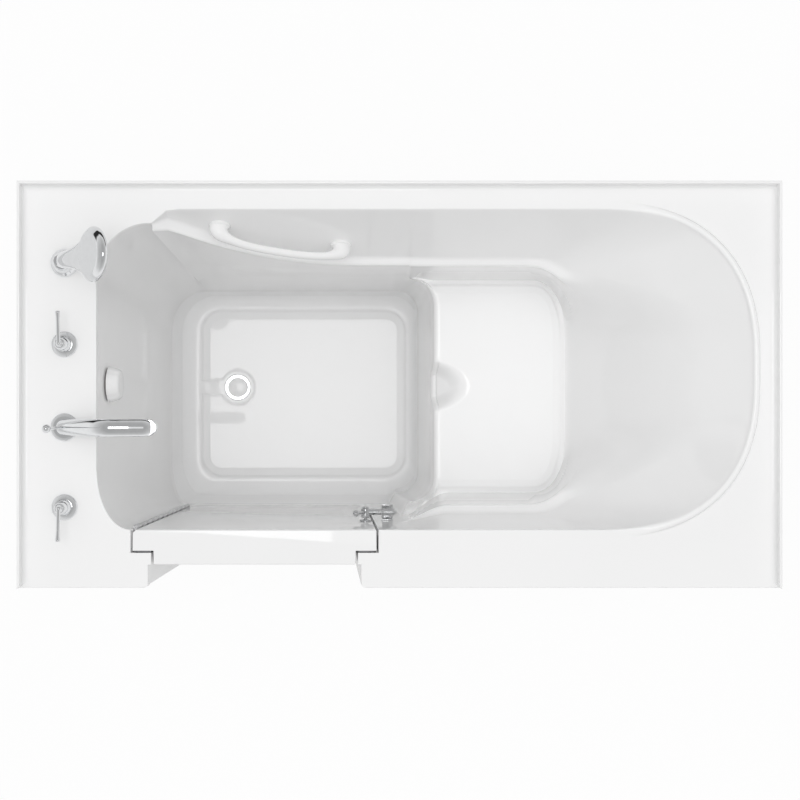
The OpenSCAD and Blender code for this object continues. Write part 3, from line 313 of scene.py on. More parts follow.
def seat_height(x, y):
    """Height of the seat with its pad, its scoop and the falling front corner."""
    d = seat_line(x, y)
    return SEAT + pad(d, d, SEAT_MARGIN) - scoop(x, y) - corner_drop(x, y)


def floor_line(x, y):
    """Distance from the outline of the floor's pad, negative inside."""
    return box_distance(x, y, *FLOOR_BOX, 58)


def at_step(line):
    """True in the two narrow bands where a pad starts to slope and where it steps down to its valley."""
    def band(x, y):
        d = line(x, y)
        return np.any([(d > low) & (d < high) for low, high in FINE_BANDS], axis=0)
    return band


def floor_height(x, y):
    """Height of the floor with its pad, and the round recess and straight channel of the drain."""
    d = floor_line(x, y)
    channel = np.maximum(np.abs(y - Y_WASTE) - CHANNEL_HALF, x - X_DRAIN)
    recess = np.minimum(channel, np.hypot(x - X_DRAIN, y - Y_WASTE) - RECESS_R)
    z = pad(d, np.maximum(d, -recess - 4.5), FLOOR_MARGIN)
    low = mix(0.6, PAD_UP - PAD_DROP - PAD_MARGIN * FLOOR_MARGIN, ramp((X_DRAIN - 45 - x) / 60))
    return FLOOR + np.where(recess < 0, np.minimum(z, low), z)


def well_line(o):
    """Outline of the whole well at deck level, outset by o."""
    return wide(X_HEAD, Y_FRONT, Y_BACK, HEAD_CORNER, 2.4, o, Y_BACK - BACK_STEP)


def down_to(point, foot, z):
    """Point at height z on the straight line from a point to the wall's foot."""
    return mix(point, foot, (point[2] - z) / (point[2] - WALL_FOOT))


def flange_rows():
    """Rows round the skirt, the tiling flange and its root on the deck."""
    top, r_out, r_top, r_root = DECK + FLANGE_H, 2.5, 2, 9
    rows = [edge(SHELL_T, DECK - SKIRT_H), edge(0.8, DECK - SKIRT_H), edge(0, DECK - SKIRT_H + 1)]
    rows += [edge(r_out * (1 - c), DECK - r_out + r_out * s, top - r_out + r_out * s)
             for c, s in map(polar, (0, 30, 60, 90))]
    rows += [edge(SHELL_T - r_top + r_top * s, DECK, top - r_top + r_top * c)
             for c, s in map(polar, (0, 45, 90))]
    rows += [edge(SHELL_T + r_root * (1 - c), DECK, DECK + r_root * (1 - s))
             for c, s in map(polar, (0, 20, 40, 60, 90))]
    return rows


def brow(inset, drop, z_wall, valley, foot):
    """Row of the seat's rounded front edge, carried round the footwell's walls at height z_wall."""
    plan = pit(X_FOOT, X_SEAT, Y_FRONT, PIT_BACK, *FOOT_CORNERS)
    depth = scoop(np.full(N_RING, X_SEAT), plan[:, 1])
    ring = valley.copy()
    for i in range(N_RING):
        if not I_SIDE <= i < I_BACK:
            ring[i] = down_to(valley[i], foot[i], z_wall)
            continue
        x, y = plan[i]
        near = min(i - I_SIDE, I_BACK - 1 - i) / N_SIDE
        lower = drop + depth[i]
        top = SEAT + PAD_UP * min(1, near * 3)
        if i < I_SIDE + N_SIDE:
            top = mix(SEAT_VALLEY, SEAT + PAD_UP, ease(near * 2))
        x = x - FRONT_LEAN * lower + inset * min(1.0, near * 1.5)
        ring[i] = (x, y, top - lower - corner_drop(x, y))
    return ring


def shell_rows():
    """Rows down to the seat's valley, of the seat's front edge and on to the floor, and the wall's foot."""
    rim, *lips = [well_line(o) for o in (0, 17, 13, 4)]
    sink = np.zeros(N_RING)
    for i in range(I_BACK, I_BEND):
        sink[i] = BACK_STEP * ease((X_TAP + BACK_CORNER[0] + 40 - rim[i][0]) / 40)
    for ring in (rim, *lips):
        ring[:, 1] -= sink
    lift = np.array([12 * ease((p[0] - X_REAR - 70) / 150) for p in rim])
    outer = wide(388, -270, 272, (105, 105))
    inner = wide(371, -253, 255, (100, 100))
    valley = wide(372, -236, 237, (BOW_X, BOW_Y), 2.5)
    wall = pit(X_FOOT, X_SEAT - 33, Y_FRONT, PIT_BACK, *FOOT_CORNERS)
    foot, top = level(wall, WALL_FOOT), level(rim, DECK)
    # four rows of corners between the rim and the wall's foot, and the radii that round three of them
    c1, c2, s1, s2 = top.copy(), top.copy(), top.copy(), top.copy()
    r1, r2, rs = (np.full(N_RING, r) for r in (8.0, 6.0, 12.0))
    head_a = I_SIDE + N_SIDE
    head_b = head_a + 2 * N_HEAD + N_END
    for i in range(N_RING):
        if I_SIDE <= i < I_BACK:
            # t is 1 beside the seat and 0 behind it; v blends the armrest ledge into the sloping back rest
            t = min(1.0, max(0.0, 1 - (i - head_a) / N_HEAD, (i - head_b + N_HEAD) / N_HEAD))
            v = ease((t - 0.05) / 0.5)
            x, y = valley[i]
            if i >= head_b:
                y = mix(PIT_BACK + 4, y, ease((x - X_CROOK) / 60))
            s = np.array([x, y, SEAT_VALLEY - corner_drop(*valley[i])])
            k1 = np.append(mix(rim[i], s[:2], 0.40), DECK - 129)
            k2 = np.append(mix(rim[i], s[:2], 0.74), DECK - 284)
            c1[i] = mix(k1, np.append(outer[i], LEDGE), v)
            c2[i] = mix(k2, np.append(inner[i], LEDGE - 7), v)
            r1[i], r2[i], rs[i] = mix(120, 8, v), mix(120, 6, v), mix(45, 12, v)
            out = rim[i] - s[:2]
            out = out / max(np.linalg.norm(out), 1e-6)
            if t > 0.999:
                out = np.array([0.0, math.copysign(1.0, y)])
            start = X_PILLAR if i < head_a else X_CROOK
            near = 1.0 if head_a <= i < head_b else ease((x - start) / 40)
            s1[i], s2[i] = s + np.append(out * mix(6, 11, v) * near, 0.0), s
            continue
        c1[i], c2[i] = down_to(top[i], foot[i], LEDGE), down_to(top[i], foot[i], LEDGE - 7)
        if I_BACK <= i < I_BEND:
            # along the back wall the ledge climbs to the deck towards the tap end
            x = rim[i][0]
            u = min(1.0, max(0.0, (CLIMB_FROM - x) / CLIMB_RUN)) ** 2.3
            z = mix(LEDGE, DECK - 3, u)
            y = Y_BACK - BACK_SLOPE * (DECK - 4 - z)
            c1[i] = (x, min(y, Y_BACK - 1) - sink[i], z)
            c2[i] = (x, y - mix(17, 27, u) - sink[i] * 0.6, mix(LEDGE - 7, DECK - 6, u))
        elif i < I_BEND + 9:
            left = 1 - ease((i - I_BEND + 1) / 9)
            c1[i] = mix(c1[i], down_to(top[i], foot[i], DECK - 3), left)
            c2[i] = mix(c2[i], down_to(top[i], foot[i], DECK - 12), left)
        s1[i], s2[i] = down_to(c2[i], foot[i], SEAT_VALLEY + 12), down_to(c2[i], foot[i], SEAT_VALLEY)
    lip = [np.column_stack([p, DECK + lift * k]) for p, k in zip(lips, (0, 1, 1))]
    brink = np.column_stack([rim, DECK + lift * 0.35])
    soft = np.array([5.0 + 8.0 * ease((p[1] - Y_FRONT - 15) / 60) for p in rim])
    upper = rounded([edge(17, DECK), *lip, brink, c1, c2, s1, s2],
                    [0, 1.0, 5, 6, np.maximum(soft, mix(5.0, 14.0, lift / 12)), r1, r2, rs, 0],
                    [0, 3, 5, 5, 9, 6, 6, 6, 0])
    brows = [brow(inset, drop, SEAT_VALLEY - below, s2, foot) for inset, drop, below in
             ((10, 0, 3), (6.5, 0.6, 8), (3.2, 2.6, 14), (1.0, 6, 20), (0, 11, 26))]
    stem = [mix(brows[-1], foot, f) for f in (0.2, 0.4, 0.6, 0.8, 0.93)]
    floor = pit(*FLOOR_BOX, (58, 66), (66, 62), (60, 54, 0), (62, 50))
    cove = [level(mix(wall, floor, 1 - c), mix(WALL_FOOT, FLOOR_VALLEY, s))
            for c, s in map(polar, range(0, 91, 10))]
    return flange_rows() + upper, brows, stem + cove, foot


# ---- the shell's skin ----
COARSE, MEDIUM, FINE = 12, 3.6, 1.7


def grid(x0, x1, y0, y1, spacing):
    gx, gy = np.meshgrid(np.arange(x0, x1, spacing), np.arange(y0, y1, spacing))
    return np.column_stack([gx.ravel(), gy.ravel()])


class Skin:
    """Collects vertices and faces of one closed skin, in millimetres."""

    def __init__(self):
        self.verts, self.faces = [], []

    def row(self, points):
        """Adds a ring of points and gives back their numbers."""
        start = len(self.verts)
        self.verts.extend([tuple(p) for p in points])
        return list(range(start, start + len(points)))

    def rows(self, rings):
        return [self.row(r) for r in rings]

    def chain(self, ids, turn=False):
        """Joins each ring to the next one."""
        for a, b in zip(ids, ids[1:]):
            self.join(*((b, a) if turn else (a, b)))

    def join(self, a, b, keep=None):
        """Joins two rings with a band of faces, or with the faces that keep() lets through."""
        n = len(a)
        for i in range(n):
            j = (i + 1) % n
            if keep is None or keep(i):
                self.faces.append((a[i], a[j], b[j], b[i]))

    def patch(self, loop, spacing, height, extra=(), hole=None, flip=False, near=None):
        """Fills a loop with a grid that follows a height function, finer where near() says so."""
        flat = [Vector(self.verts[i][:2]) for i in loop]
        poly = np.array([tuple(p) for p in flat])
        x0, y0 = poly.min(axis=0)
        x1, y1 = poly.max(axis=0)
        pts = grid(x0, x1, y0, y1, spacing)
        if hole:
            pts = np.vstack([pts[[not hole(p) for p in pts]], np.array(extra)])
        if near is not None:
            small = grid(x0, x1, y0, y1, FINE)
            band = near(small[:, 0], small[:, 1])
            pts = np.vstack([pts[~near(pts[:, 0], pts[:, 1])], small[band]])
        pts = pts[inside(pts, poly, spacing * 0.45)]
        base = len(flat)
        coords = flat + [Vector(p) for p in pts]
        edges = [(k, (k + 1) % base) for k in range(base)]
        out = delaunay_2d_cdt(coords, edges, [], 1, 1e-4)
        spots = []
        for k, v in enumerate(out[0]):
            source = out[3][k]
            first = min(source) if source else -1
            if 0 <= first < base:
                spots.append(loop[first])
            else:
                spots.append(len(self.verts))
                z = float(height(np.array([v.x]), np.array([v.y]))[0])
                self.verts.append((v.x, v.y, z))
        for f in out[2]:
            tri = [spots[k] for k in f]
            if len(set(tri)) == 3:
                self.faces.append(tuple(reversed(tri)) if flip else tuple(tri))


def inside(points, poly, margin):
    """True for points in a polygon that keep a margin from its sides."""
    x, y = points[:, 0], points[:, 1]
    hit = np.zeros(len(points), bool)
    near = np.full(len(points), np.inf)
    for k in range(len(poly)):
        (ax, ay), (bx, by) = poly[k], poly[(k + 1) % len(poly)]
        if ay != by:
            cross = ((ay > y) != (by > y)) & (x < (bx - ax) * (y - ay) / (by - ay) + ax)
            hit ^= cross
        dx, dy = bx - ax, by - ay
        t = np.clip(((x - ax) * dx + (y - ay) * dy) / max(dx * dx + dy * dy, 1e-12), 0, 1)
        near = np.minimum(near, np.hypot(x - ax - t * dx, y - ay - t * dy))
    return hit & (near > margin)


def seat_detail(x, y):
    """Where the seat needs its fine grid: the pad's two bends and the scoop."""
    return at_step(seat_line)(x, y) | ((scoop_reach(x, y) < 1.06) & (x < SCOOP[0] + SCOOP[2] + 6))


def shell_skin():
    """The whole moulding as one closed skin, before its holes are cut."""
    rows, brows, lower, foot = shell_rows()
    skin = Skin()

    def beside(i):
        return not I_SIDE <= i < I_BACK - 1

    def seat_loop(back, front):
        return back[I_SIDE:I_BACK] + front[I_SIDE:I_BACK][::-1]
    ids = skin.rows(rows)
    skin.chain(ids)
    brow_ids = skin.rows(brows)
    skin.join(ids[-1], brow_ids[0], keep=beside)
    skin.patch(seat_loop(ids[-1], brow_ids[0]), MEDIUM, seat_height, near=seat_detail)
    down = brow_ids + skin.rows(lower)
    skin.chain(down)
    turns = [polar(a) for a in range(0, 360, 4)]
    rings = [(X_DRAIN + r * c, Y_WASTE + r * s) for r in (40.5, 38, 36, 34, 31) for c, s in turns]
    skin.patch(down[-1], MEDIUM, floor_height, extra=rings, near=at_step(floor_line),
               hole=lambda p: 29 < math.hypot(p[0] - X_DRAIN, p[1] - Y_WASTE) < 43)
    # underside: the same rings with the thickness taken off
    t = SHELL_T
    under = [edge(t, DECK - t), level(well_line(t), DECK - t), push(rows[-18], t, 3), push(rows[-11], t, 3)]
    brow_under = brows[-1] - (0, 0, t)
    brow_under[I_SIDE:I_BACK, 2] += 4
    under_ids = skin.rows(under)
    skin.join(under_ids[0], ids[0])
    skin.chain(under_ids, turn=True)
    seat_ids, front_ids = skin.row(push(rows[-1], t * 0.6, t)), skin.row(push(brow_under, t, 0))
    skin.join(seat_ids, under_ids[-1])
    skin.join(front_ids, seat_ids, keep=beside)
    skin.patch(seat_loop(seat_ids, front_ids), COARSE * 0.75, lambda x, y: seat_height(x, y) - t - 1,
               flip=True)
    low_ids = skin.rows([push(foot, t, 0), push(lower[-4], t * 0.5, t * 0.8), push(lower[-1], 0, t)])
    skin.join(low_ids[0], front_ids)
    skin.chain(low_ids, turn=True)
    skin.patch(low_ids[-1], COARSE, lambda x, y: np.full_like(x, FLOOR_VALLEY - t), flip=True)
    return skin


def push(ring, out, down):
    """Ring moved outwards in plan and down."""
    p = ring.copy()
    n = len(p)
    for i in range(n):
        d = ring[(i + 2) % n][:2] - ring[i - 2][:2]
        size = np.linalg.norm(d)
        if size > 1e-6:
            p[i][:2] = ring[i][:2] + np.array([d[1], -d[0]]) / size * out
    p[:, 2] -= down
    return p


# ---- meshes ----
MERGE, SLIVER = 1e-6, 1e-7


def welded(me):
    """Working copy of a mesh with its doubles merged."""
    bm = bmesh.new()
    bm.from_mesh(me)
    bmesh.ops.remove_doubles(bm, verts=bm.verts, dist=MERGE)
    return bm


def mesh_of(name, verts, faces, smooth=35.0):
    """Closed mesh in metres from millimetre points, with its faces turned outwards."""
    me = bpy.data.meshes.new(name)
    me.from_pydata([(x * MM, y * MM, z * MM) for x, y, z in verts], [], faces)
    bm = welded(me)
    bmesh.ops.dissolve_degenerate(bm, dist=SLIVER, edges=bm.edges)
    rims = [e for e in bm.edges if len(e.link_faces) == 1]
    if rims:
        bmesh.ops.holes_fill(bm, edges=rims)
    bmesh.ops.recalc_face_normals(bm, faces=bm.faces)
    if bm.calc_volume(signed=True) < 0:
        bmesh.ops.reverse_faces(bm, faces=bm.faces)
    bm.to_mesh(me)
    bm.free()
    shade(me, smooth)
    return me


def shade(me, smooth):
    """Smooth shading with sharp edges where faces meet steeper than the given angle."""
    me.polygons.foreach_set("use_smooth", [True] * len(me.polygons))
    me.set_sharp_from_angle(angle=math.radians(smooth))
    me.update()


def new_object(name, data):
    ob = bpy.data.objects.new(name, data)
    bpy.context.scene.collection.objects.link(ob)
    return ob


def evaluated(ob):
    """New mesh of an object with its modifiers run."""
    return bpy.data.meshes.new_from_object(ob.evaluated_get(bpy.context.evaluated_depsgraph_get()))


def place(name, shape, finish, body, node, smooth=35.0):
    """Makes a finished piece that rides on a body and stands for a CAD node."""
    me = shape if isinstance(shape, bpy.types.Mesh) else mesh_of(name, *shape, smooth)
    ob = new_object(name, me)
    me.materials.clear()
    me.materials.append(FINISH[finish])
    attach(ob, body)
    if node:
        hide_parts(node)


def dress(finish, *names):
    """Gives carried-over CAD nodes their finish."""
    for name in names:
        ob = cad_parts[name]
        if not ob.material_slots:
            ob.data.materials.append(FINISH[finish])
        for slot in ob.material_slots:
            slot.material = FINISH[finish]


def loft(rings, closed=True):
    """Points and faces of a skin through rings of equal length, capped at both ends."""
    n = len(rings[0])
    verts = [tuple(p) for r in rings for p in r]
    faces = []
    for k in range(len(rings) - 1):
        for i in range(n):
            j = (i + 1) % n
            faces.append((k * n + i, k * n + j, (k + 1) * n + j, (k + 1) * n + i))
    if closed:
        faces.append(tuple(range(n - 1, -1, -1)))
        faces.append(tuple(range((len(rings) - 1) * n, len(rings) * n)))
    return verts, faces


def turned(profile, at, n=96, wave=None):
    """Lathe shape from (radius, height) pairs that start and end on the axis."""
    rings = []
    for r, z in profile:
        ring = []
        for i in range(n):
            a = 2 * math.pi * i / n
            rr = max(r, 0.01) * (wave(a, r) if wave else 1)
            ring.append((rr * math.cos(a), rr * math.sin(a), z))
        rings.append(ring)
    verts, faces = loft(rings)
    return [tuple(at @ Vector(v)) for v in verts], faces


def ringed(profile, at, n=96):
    """Lathe shape round a bore: the profile is a closed loop off the axis."""
    rings = [[(r * math.cos(2 * math.pi * i / n), r * math.sin(2 * math.pi * i / n), z) for i in range(n)]
             for r, z in profile]
    verts, faces = loft(rings + rings[:1], closed=False)
    return [tuple(at @ Vector(v)) for v in verts], faces


def disc(r, z0, z1, at, n=48):
    return turned([(0, z0), (r, z0), (r, z1), (0, z1)], at, n)


def soften(profile, r, steps=4):
    """Rounds the inner corners of a (radius, height) profile."""
    out = [profile[0]]
    for k in range(1, len(profile) - 1):
        a, b, c = (Vector(p) for p in profile[k - 1:k + 2])
        la, lc = (a - b).length, (c - b).length
        d = min(r, la * 0.45, lc * 0.45)
        if d < 1e-6:
            out.append(tuple(b))
            continue
        p, q = b + (a - b) / la * d, b + (c - b) / lc * d
        for j in range(steps + 1):
            t = j / steps
            out.append(tuple(p * (1 - t) ** 2 + b * 2 * t * (1 - t) + q * t ** 2))
    out.append(profile[-1])
    return out


def moved(x, y, z):
    return Matrix.Translation((x, y, z))


def spun(degrees, axis):
    return Matrix.Rotation(math.radians(degrees), 4, axis)


def frame_at(x, y, z, turn_y=0.0):
    """Placement whose Z axis is leant about Y."""
    return moved(x, y, z) @ spun(turn_y, "Y")


def tube(stations, n):
    """Skin of ovals across a path of (point, way, across, half width, half thickness)."""
    rings = []
    for point, way, across, wide_r, thick_r in stations:
        w, c = Vector(way).normalized(), Vector(across).normalized()
        up = w.cross(c).normalized()
        c = up.cross(w).normalized()
        turns = [2 * math.pi * i / n for i in range(n)]
        rings.append([tuple(point + c * wide_r * math.cos(a) + up * thick_r * math.sin(a)) for a in turns])
    return loft(rings)


def solid(name, parts, holes=(), smooth=35.0):
    """One mesh of parts that run into each other, with holes cut out one after the other."""
    ob = new_object(name, mesh_of(name, *parts[0]))
    for operation, shapes in (("UNION", parts[1:]), ("DIFFERENCE", holes)):
        for shape in shapes:
            tool = new_object("tool", mesh_of("tool", *shape))
            mod = ob.modifiers.new("combine", "BOOLEAN")
            mod.operation, mod.solver, mod.object = operation, "MANIFOLD", tool
            result = evaluated(ob)
            ob.modifiers.remove(mod)
            if len(result.polygons) < len(ob.data.polygons) * 0.3:
                raise RuntimeError("a boolean removed most of " + name)
            ob.data = result
            bpy.data.objects.remove(tool)
    me = ob.data
    me.name = name
    bpy.data.objects.remove(ob)
    shade(me, smooth)
    return me


def bevelled(name, source, width, segments=2, angle=30.0):
    """Copy of a CAD node's mesh with its doubles merged and its edges rounded."""
    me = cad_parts[source].data.copy()
    bm = welded(me)
    bmesh.ops.dissolve_limit(bm, angle_limit=math.radians(0.5), verts=bm.verts, edges=bm.edges)
    bm.to_mesh(me)
    bm.free()
    tool = new_object(name + "_tool", me)
    mod = tool.modifiers.new("bevel", "BEVEL")
    mod.width, mod.segments, mod.limit_method = width * MM, segments, "ANGLE"
    mod.angle_limit, mod.use_clamp_overlap, mod.harden_normals = math.radians(angle), True, False
    result = evaluated(tool)
    bpy.data.objects.remove(tool)
    result.name = name
    shade(result, 40)
    return result


# ---- door outline ----
DOOR_X0, DOOR_X1, DOOR_Z = -535.0, -46.0, 169.0
DOOR_STEP, DOOR_GAP, DOOR_R, DOOR_SKIN = 42.0, 4.0, 62.0, 5.0
Y_LEAF, Y_STEP, Y_PLUG = -290.0, -332.0, -360.0
LEAN_L, LEAN_R = 20.0 / (DECK - DOOR_Z), 41.0 / (DECK - DOOR_Z)
QUARTER = (0, 15, 30, 45, 60, 75, 90)


def door_left(o, z):
    return DOOR_X0 - o + (DECK - z) * LEAN_L


def door_right(o, z):
    return DOOR_X1 + o - (DECK - z) * LEAN_R


def door_line(o, top, tip=0.0, n=12):
    """Outline of the door in X and Z grown by o, with round foot corners and an optional round top."""
    r = DOOR_R + o
    low = DOOR_Z - o + r
    foot = arc(door_left(o, low) + r, low, r, 180, 270, n) + arc(door_right(o, low) - r, low, r, 270, 360, n)
    tips = []
    for c, s in map(polar, full(0, 90, 7)):
        z = top - tip * (1 - s)
        tips.append((door_right(o, z) - tip * (1 - c), z))
    back = [(door_left(o, z) + (door_right(o, top) - x), z) for x, z in reversed(tips)]
    sides = [(door_left(o, z), z) for z in full(top - tip - 1, low + 1, 12)]
    other = [(door_right(o, z), z) for z in full(low + 1, top - tip - 1, 12)]
    return back + sides + foot + other + tips


def at_depth(line, y):
    return [(x, y, z) for x, z in line]


def on_hinge():
    """Placement on the hinge axis at deck level."""
    return moved(DOOR_X0 - 2, Y_LEAF + 1, DECK) @ Matrix.Rotation(-math.atan(LEAN_L), 4, "Y")


# ---- node trees ----
def feed(tree, target, inputs):
    """Fills a node's inputs with values, links or lists of links."""
    for key, value in inputs.items():
        for one in value if isinstance(value, list) else [value]:
            if isinstance(one, bpy.types.NodeSocket):
                tree.links.new(one, target.inputs[key])
            else:
                target.inputs[key].default_value = one


def node(tree, kind, inputs=None, out=0, **settings):
    """Adds a node with its settings and inputs, and gives back one of its outputs."""
    made = tree.nodes.new(kind)
    for key, value in settings.items():
        setattr(made, key, value)
    feed(tree, made, inputs or {})
    return made.outputs[out]


def maths(tree, operation, a, b):
    return node(tree, "ShaderNodeMath", {0: a, 1: b}, operation=operation)


def new_finish(name, metallic=0.0):
    """New material, its tree, its shader and its object coordinates."""
    mat = bpy.data.materials.new(name)
    mat.use_nodes = True
    tree = mat.node_tree
    shader = tree.nodes["Principled BSDF"]
    shader.inputs["Metallic"].default_value = metallic
    return mat, tree, shader, node(tree, "ShaderNodeTexCoord", out="Object")


def noise(tree, vector, scale, detail=3.0, rough=0.5):
    return node(tree, "ShaderNodeTexNoise",
                {"Scale": scale, "Detail": detail, "Roughness": rough, "Vector": vector}, "Fac")


def stretched(tree, vector, scale):
    return node(tree, "ShaderNodeMapping", {"Scale": scale, "Vector": vector}, "Vector")


def ranged(tree, value, a, b, low=0.0, high=1.0):
    return node(tree, "ShaderNodeMapRange",
                {"From Min": low, "From Max": high, "To Min": a, "To Max": b, "Value": value}, "Result")


def graded(tree, value, *stops):
    """Colour ramp through (place, colour) stops; the lowest and the highest come first."""
    made = tree.nodes.new("ShaderNodeValToRGB")
    elements = made.color_ramp.elements
    for k, (where, tone) in enumerate(stops):
        if k < 2:
            elements[k].position = where
        stop = elements[k] if k < 2 else elements.new(where)
        stop.color = (*tone, 1)
    tree.links.new(value, made.inputs["Fac"])
    return made.outputs["Color"]


def tinted(tree, value, dark, light, low=0.3, high=0.7):
    return graded(tree, value, (low, dark), (high, light))


def bumped(tree, shader, value, distance, strength):
    relief = node(tree, "ShaderNodeBump", {"Distance": distance, "Strength": strength, "Height": value},
                  "Normal")
    feed(tree, shader, {"Normal": relief})


# ---- finishes ----
def scaled(tone, factor):
    return tuple(c * factor for c in tone)


def acrylic_finish(name, tone, rough):
    """Glossy cast sheet: even white with faint clouds, wiping marks and a hint of ripple."""
    mat, tree, shader, where = new_finish(name)
    light = tuple(min(1.0, c) for c in scaled(tone, 1.006))
    wipe = noise(tree, stretched(tree, where, (6.0, 60.0, 30.0)), 6.0, 5.0, 0.6)
    feed(tree, shader, {"Base Color": tinted(tree, noise(tree, where, 3.0, 2.0), scaled(tone, 0.992), light),
                        "Roughness": ranged(tree, wipe, rough * 0.8, rough * 1.5, 0.3, 0.7), "IOR": 1.49})
    bumped(tree, shader, noise(tree, where, 9.0, 1.0), 0.0006, 0.35)
    return mat


def chrome_finish(name, tone, rough):
    """Polished plate with faint water marks."""
    mat, tree, shader, where = new_finish(name, 1.0)
    marks = noise(tree, where, 90.0, 6.0, 0.65)
    feed(tree, shader, {"Base Color": tinted(tree, marks, scaled(tone, 0.94), tone),
                        "Roughness": ranged(tree, marks, rough, rough * 2.2, 0.45, 0.8)})
    bumped(tree, shader, noise(tree, where, 35.0, 2.0), 0.0002, 0.12)
    return mat


def metal_finish(name, dark, light, rough, grain, relief):
    """Worked metal: drawn lines, blotches and a light scratch relief."""
    mat, tree, shader, where = new_finish(name, 1.0)
    lines = noise(tree, stretched(tree, where, grain), 40.0, 4.0, 0.7)
    feed(tree, shader, {"Base Color": tinted(tree, noise(tree, where, 28.0, 5.0, 0.6), dark, light),
                        "Roughness": ranged(tree, lines, rough * 0.75, rough * 1.3)})
    bumped(tree, shader, lines, relief, 0.5)
    return mat


def rubber_finish(name, tone, rough):
    """Moulded rubber with a fine matt grain."""
    mat, tree, shader, where = new_finish(name)
    bloom = noise(tree, where, 40.0, 4.0)
    feed(tree, shader, {"Base Color": tinted(tree, bloom, scaled(tone, 0.8), scaled(tone, 1.25)),
                        "Roughness": ranged(tree, bloom, rough * 0.9, min(1.0, rough * 1.15))})
    bumped(tree, shader, noise(tree, where, 1400.0, 2.0), 0.0002, 0.6)
    return mat


def plywood_finish(name):
    """Pale veneer with long grain, darker pores and thin plies on the edges."""
    mat, tree, shader, where = new_finish(name)
    grain = noise(tree, stretched(tree, where, (3.0, 45.0, 45.0)), 2.2, 8.0, 0.62)
    veneer = tinted(tree, grain, (0.42, 0.27, 0.14), (0.68, 0.51, 0.32), 0.36, 0.66)
    wave = node(tree, "ShaderNodeTexWave", {"Scale": 110.0, "Distortion": 0.6, "Vector": where}, "Fac",
                bands_direction="Z")
    plies = tinted(tree, wave, (0.34, 0.2, 0.1), (0.66, 0.5, 0.31), 0.25, 0.6)
    normal = node(tree, "ShaderNodeNewGeometry", out="Normal")
    upward = node(tree, "ShaderNodeSeparateXYZ", {"Vector": normal}, "Z")
    flat = node(tree, "ShaderNodeMath", {0: upward}, operation="ABSOLUTE")
    both = node(tree, "ShaderNodeMix", {"Factor": flat, "A": plies, "B": veneer}, "Result", data_type="RGBA")
    feed(tree, shader, {"Base Color": both, "Roughness": 0.62})
    bumped(tree, shader, grain, 0.0006, 0.5)
    return mat


FINISH = {}


def make_finishes(look):
    tone, plate = tuple(look.acrylic), tuple(look.chrome)
    FINISH["shell"] = acrylic_finish("shell_acrylic", tone, look.gloss)
    FINISH["door"] = acrylic_finish("door_acrylic", scaled(tone, 0.985), look.gloss)
    FINISH["knob"] = acrylic_finish("knob_acrylic", scaled(tone, 0.97), look.gloss * 1.6)
    FINISH["chrome"] = chrome_finish("polished_chrome", plate, 0.045)
    FINISH["satin"] = chrome_finish("satin_chrome", scaled(plate, 0.7), 0.2)
    for key, name, dark, light, rough, grain, relief in (
            ("steel", "zinc_plated_steel", (0.42, 0.43, 0.44), (0.62, 0.63, 0.65), 0.36, (2, 30, 30), 0.0003),
            ("leaf", "brushed_steel", (0.5, 0.5, 0.51), (0.64, 0.64, 0.65), 0.24, (60, 60, 2), 0.0001),
            ("brass", "cast_brass", (0.5, 0.33, 0.12), (0.72, 0.52, 0.22), 0.34, (10, 10, 10), 0.0004),
            ("copper", "drawn_copper", (0.5, 0.22, 0.12), (0.78, 0.4, 0.25), 0.28, (30, 2, 30), 0.0002)):
        FINISH[key] = metal_finish(name, dark, light, rough, grain, relief)
    FINISH["rubber"] = rubber_finish("grey_gasket", (0.22, 0.22, 0.23), 0.62)
    FINISH["tyre"] = rubber_finish("black_rubber", (0.03, 0.03, 0.032), 0.7)
    FINISH["plywood"] = plywood_finish("birch_plywood")
    FINISH["spray"] = rubber_finish("spray_face", (0.62, 0.63, 0.64), 0.4)


# ---- moulded shell ----
X_TAPS, Y_COLD, Y_HOT, Y_SPOUT, Y_SHOWER = -671.0, 81.5, -244.5, -84.5, 244.5
OVERFLOW, OVERFLOW_TURN = (-602.25, 2.0, 865.0), 90 - math.degrees(math.atan2(0.04745, 0.99887))
WALL_N = Vector((0, -1, BACK_SLOPE)).normalized()
GRAB = ((X_TAP + 240, 65.0), (X_TAP + 484, 145.0))
SEAL = 3.6 + 0.3 + 0.5
TALL = DECK + 60
FACE_R, FACE_GAP = 9, 11 - DOOR_STEP


def on_back(x, depth):
    """Point on the sloping back wall, at a depth under the deck."""
    return Vector((x, Y_BACK - BACK_SLOPE * (depth - 4), DECK - depth))


def at_grab(g):
    return Matrix.Translation(on_back(*g)) @ WALL_N.to_track_quat("Z", "X").to_matrix().to_4x4()


def lipped(o, y0, y1, lip=3.0):
    """Doorway cutter whose end flares, so that the opening's edges come out rounded."""
    rings = [at_depth(door_line(o, TALL), y) for y in (y0, y1 - lip)]
    for c, s in map(polar, QUARTER[1:]):
        rings.append(at_depth(door_line(o + lip * (1 - c), TALL), y1 - lip + lip * s))
    return loft(rings + [at_depth(door_line(o + lip, TALL), y1 + 12)])


def rim_flare(o, y0, y1, lip=3.0):
    """Wedge that rounds the deck's edge beside the doorway."""
    line, other = [], []
    for c, s in map(polar, QUARTER):
        z = DECK - lip + lip * s
        x = door_right(o, z) + lip * (1 - c)
        line.append((x, z))
        other.append((door_left(o, z) - (x - door_right(o, z)), z))
    for side in (line, other):
        side.append((side[-1][0], DECK + 40))
    ring = line + other[::-1]
    return loft([at_depth(ring, y0), at_depth(ring, y1)])


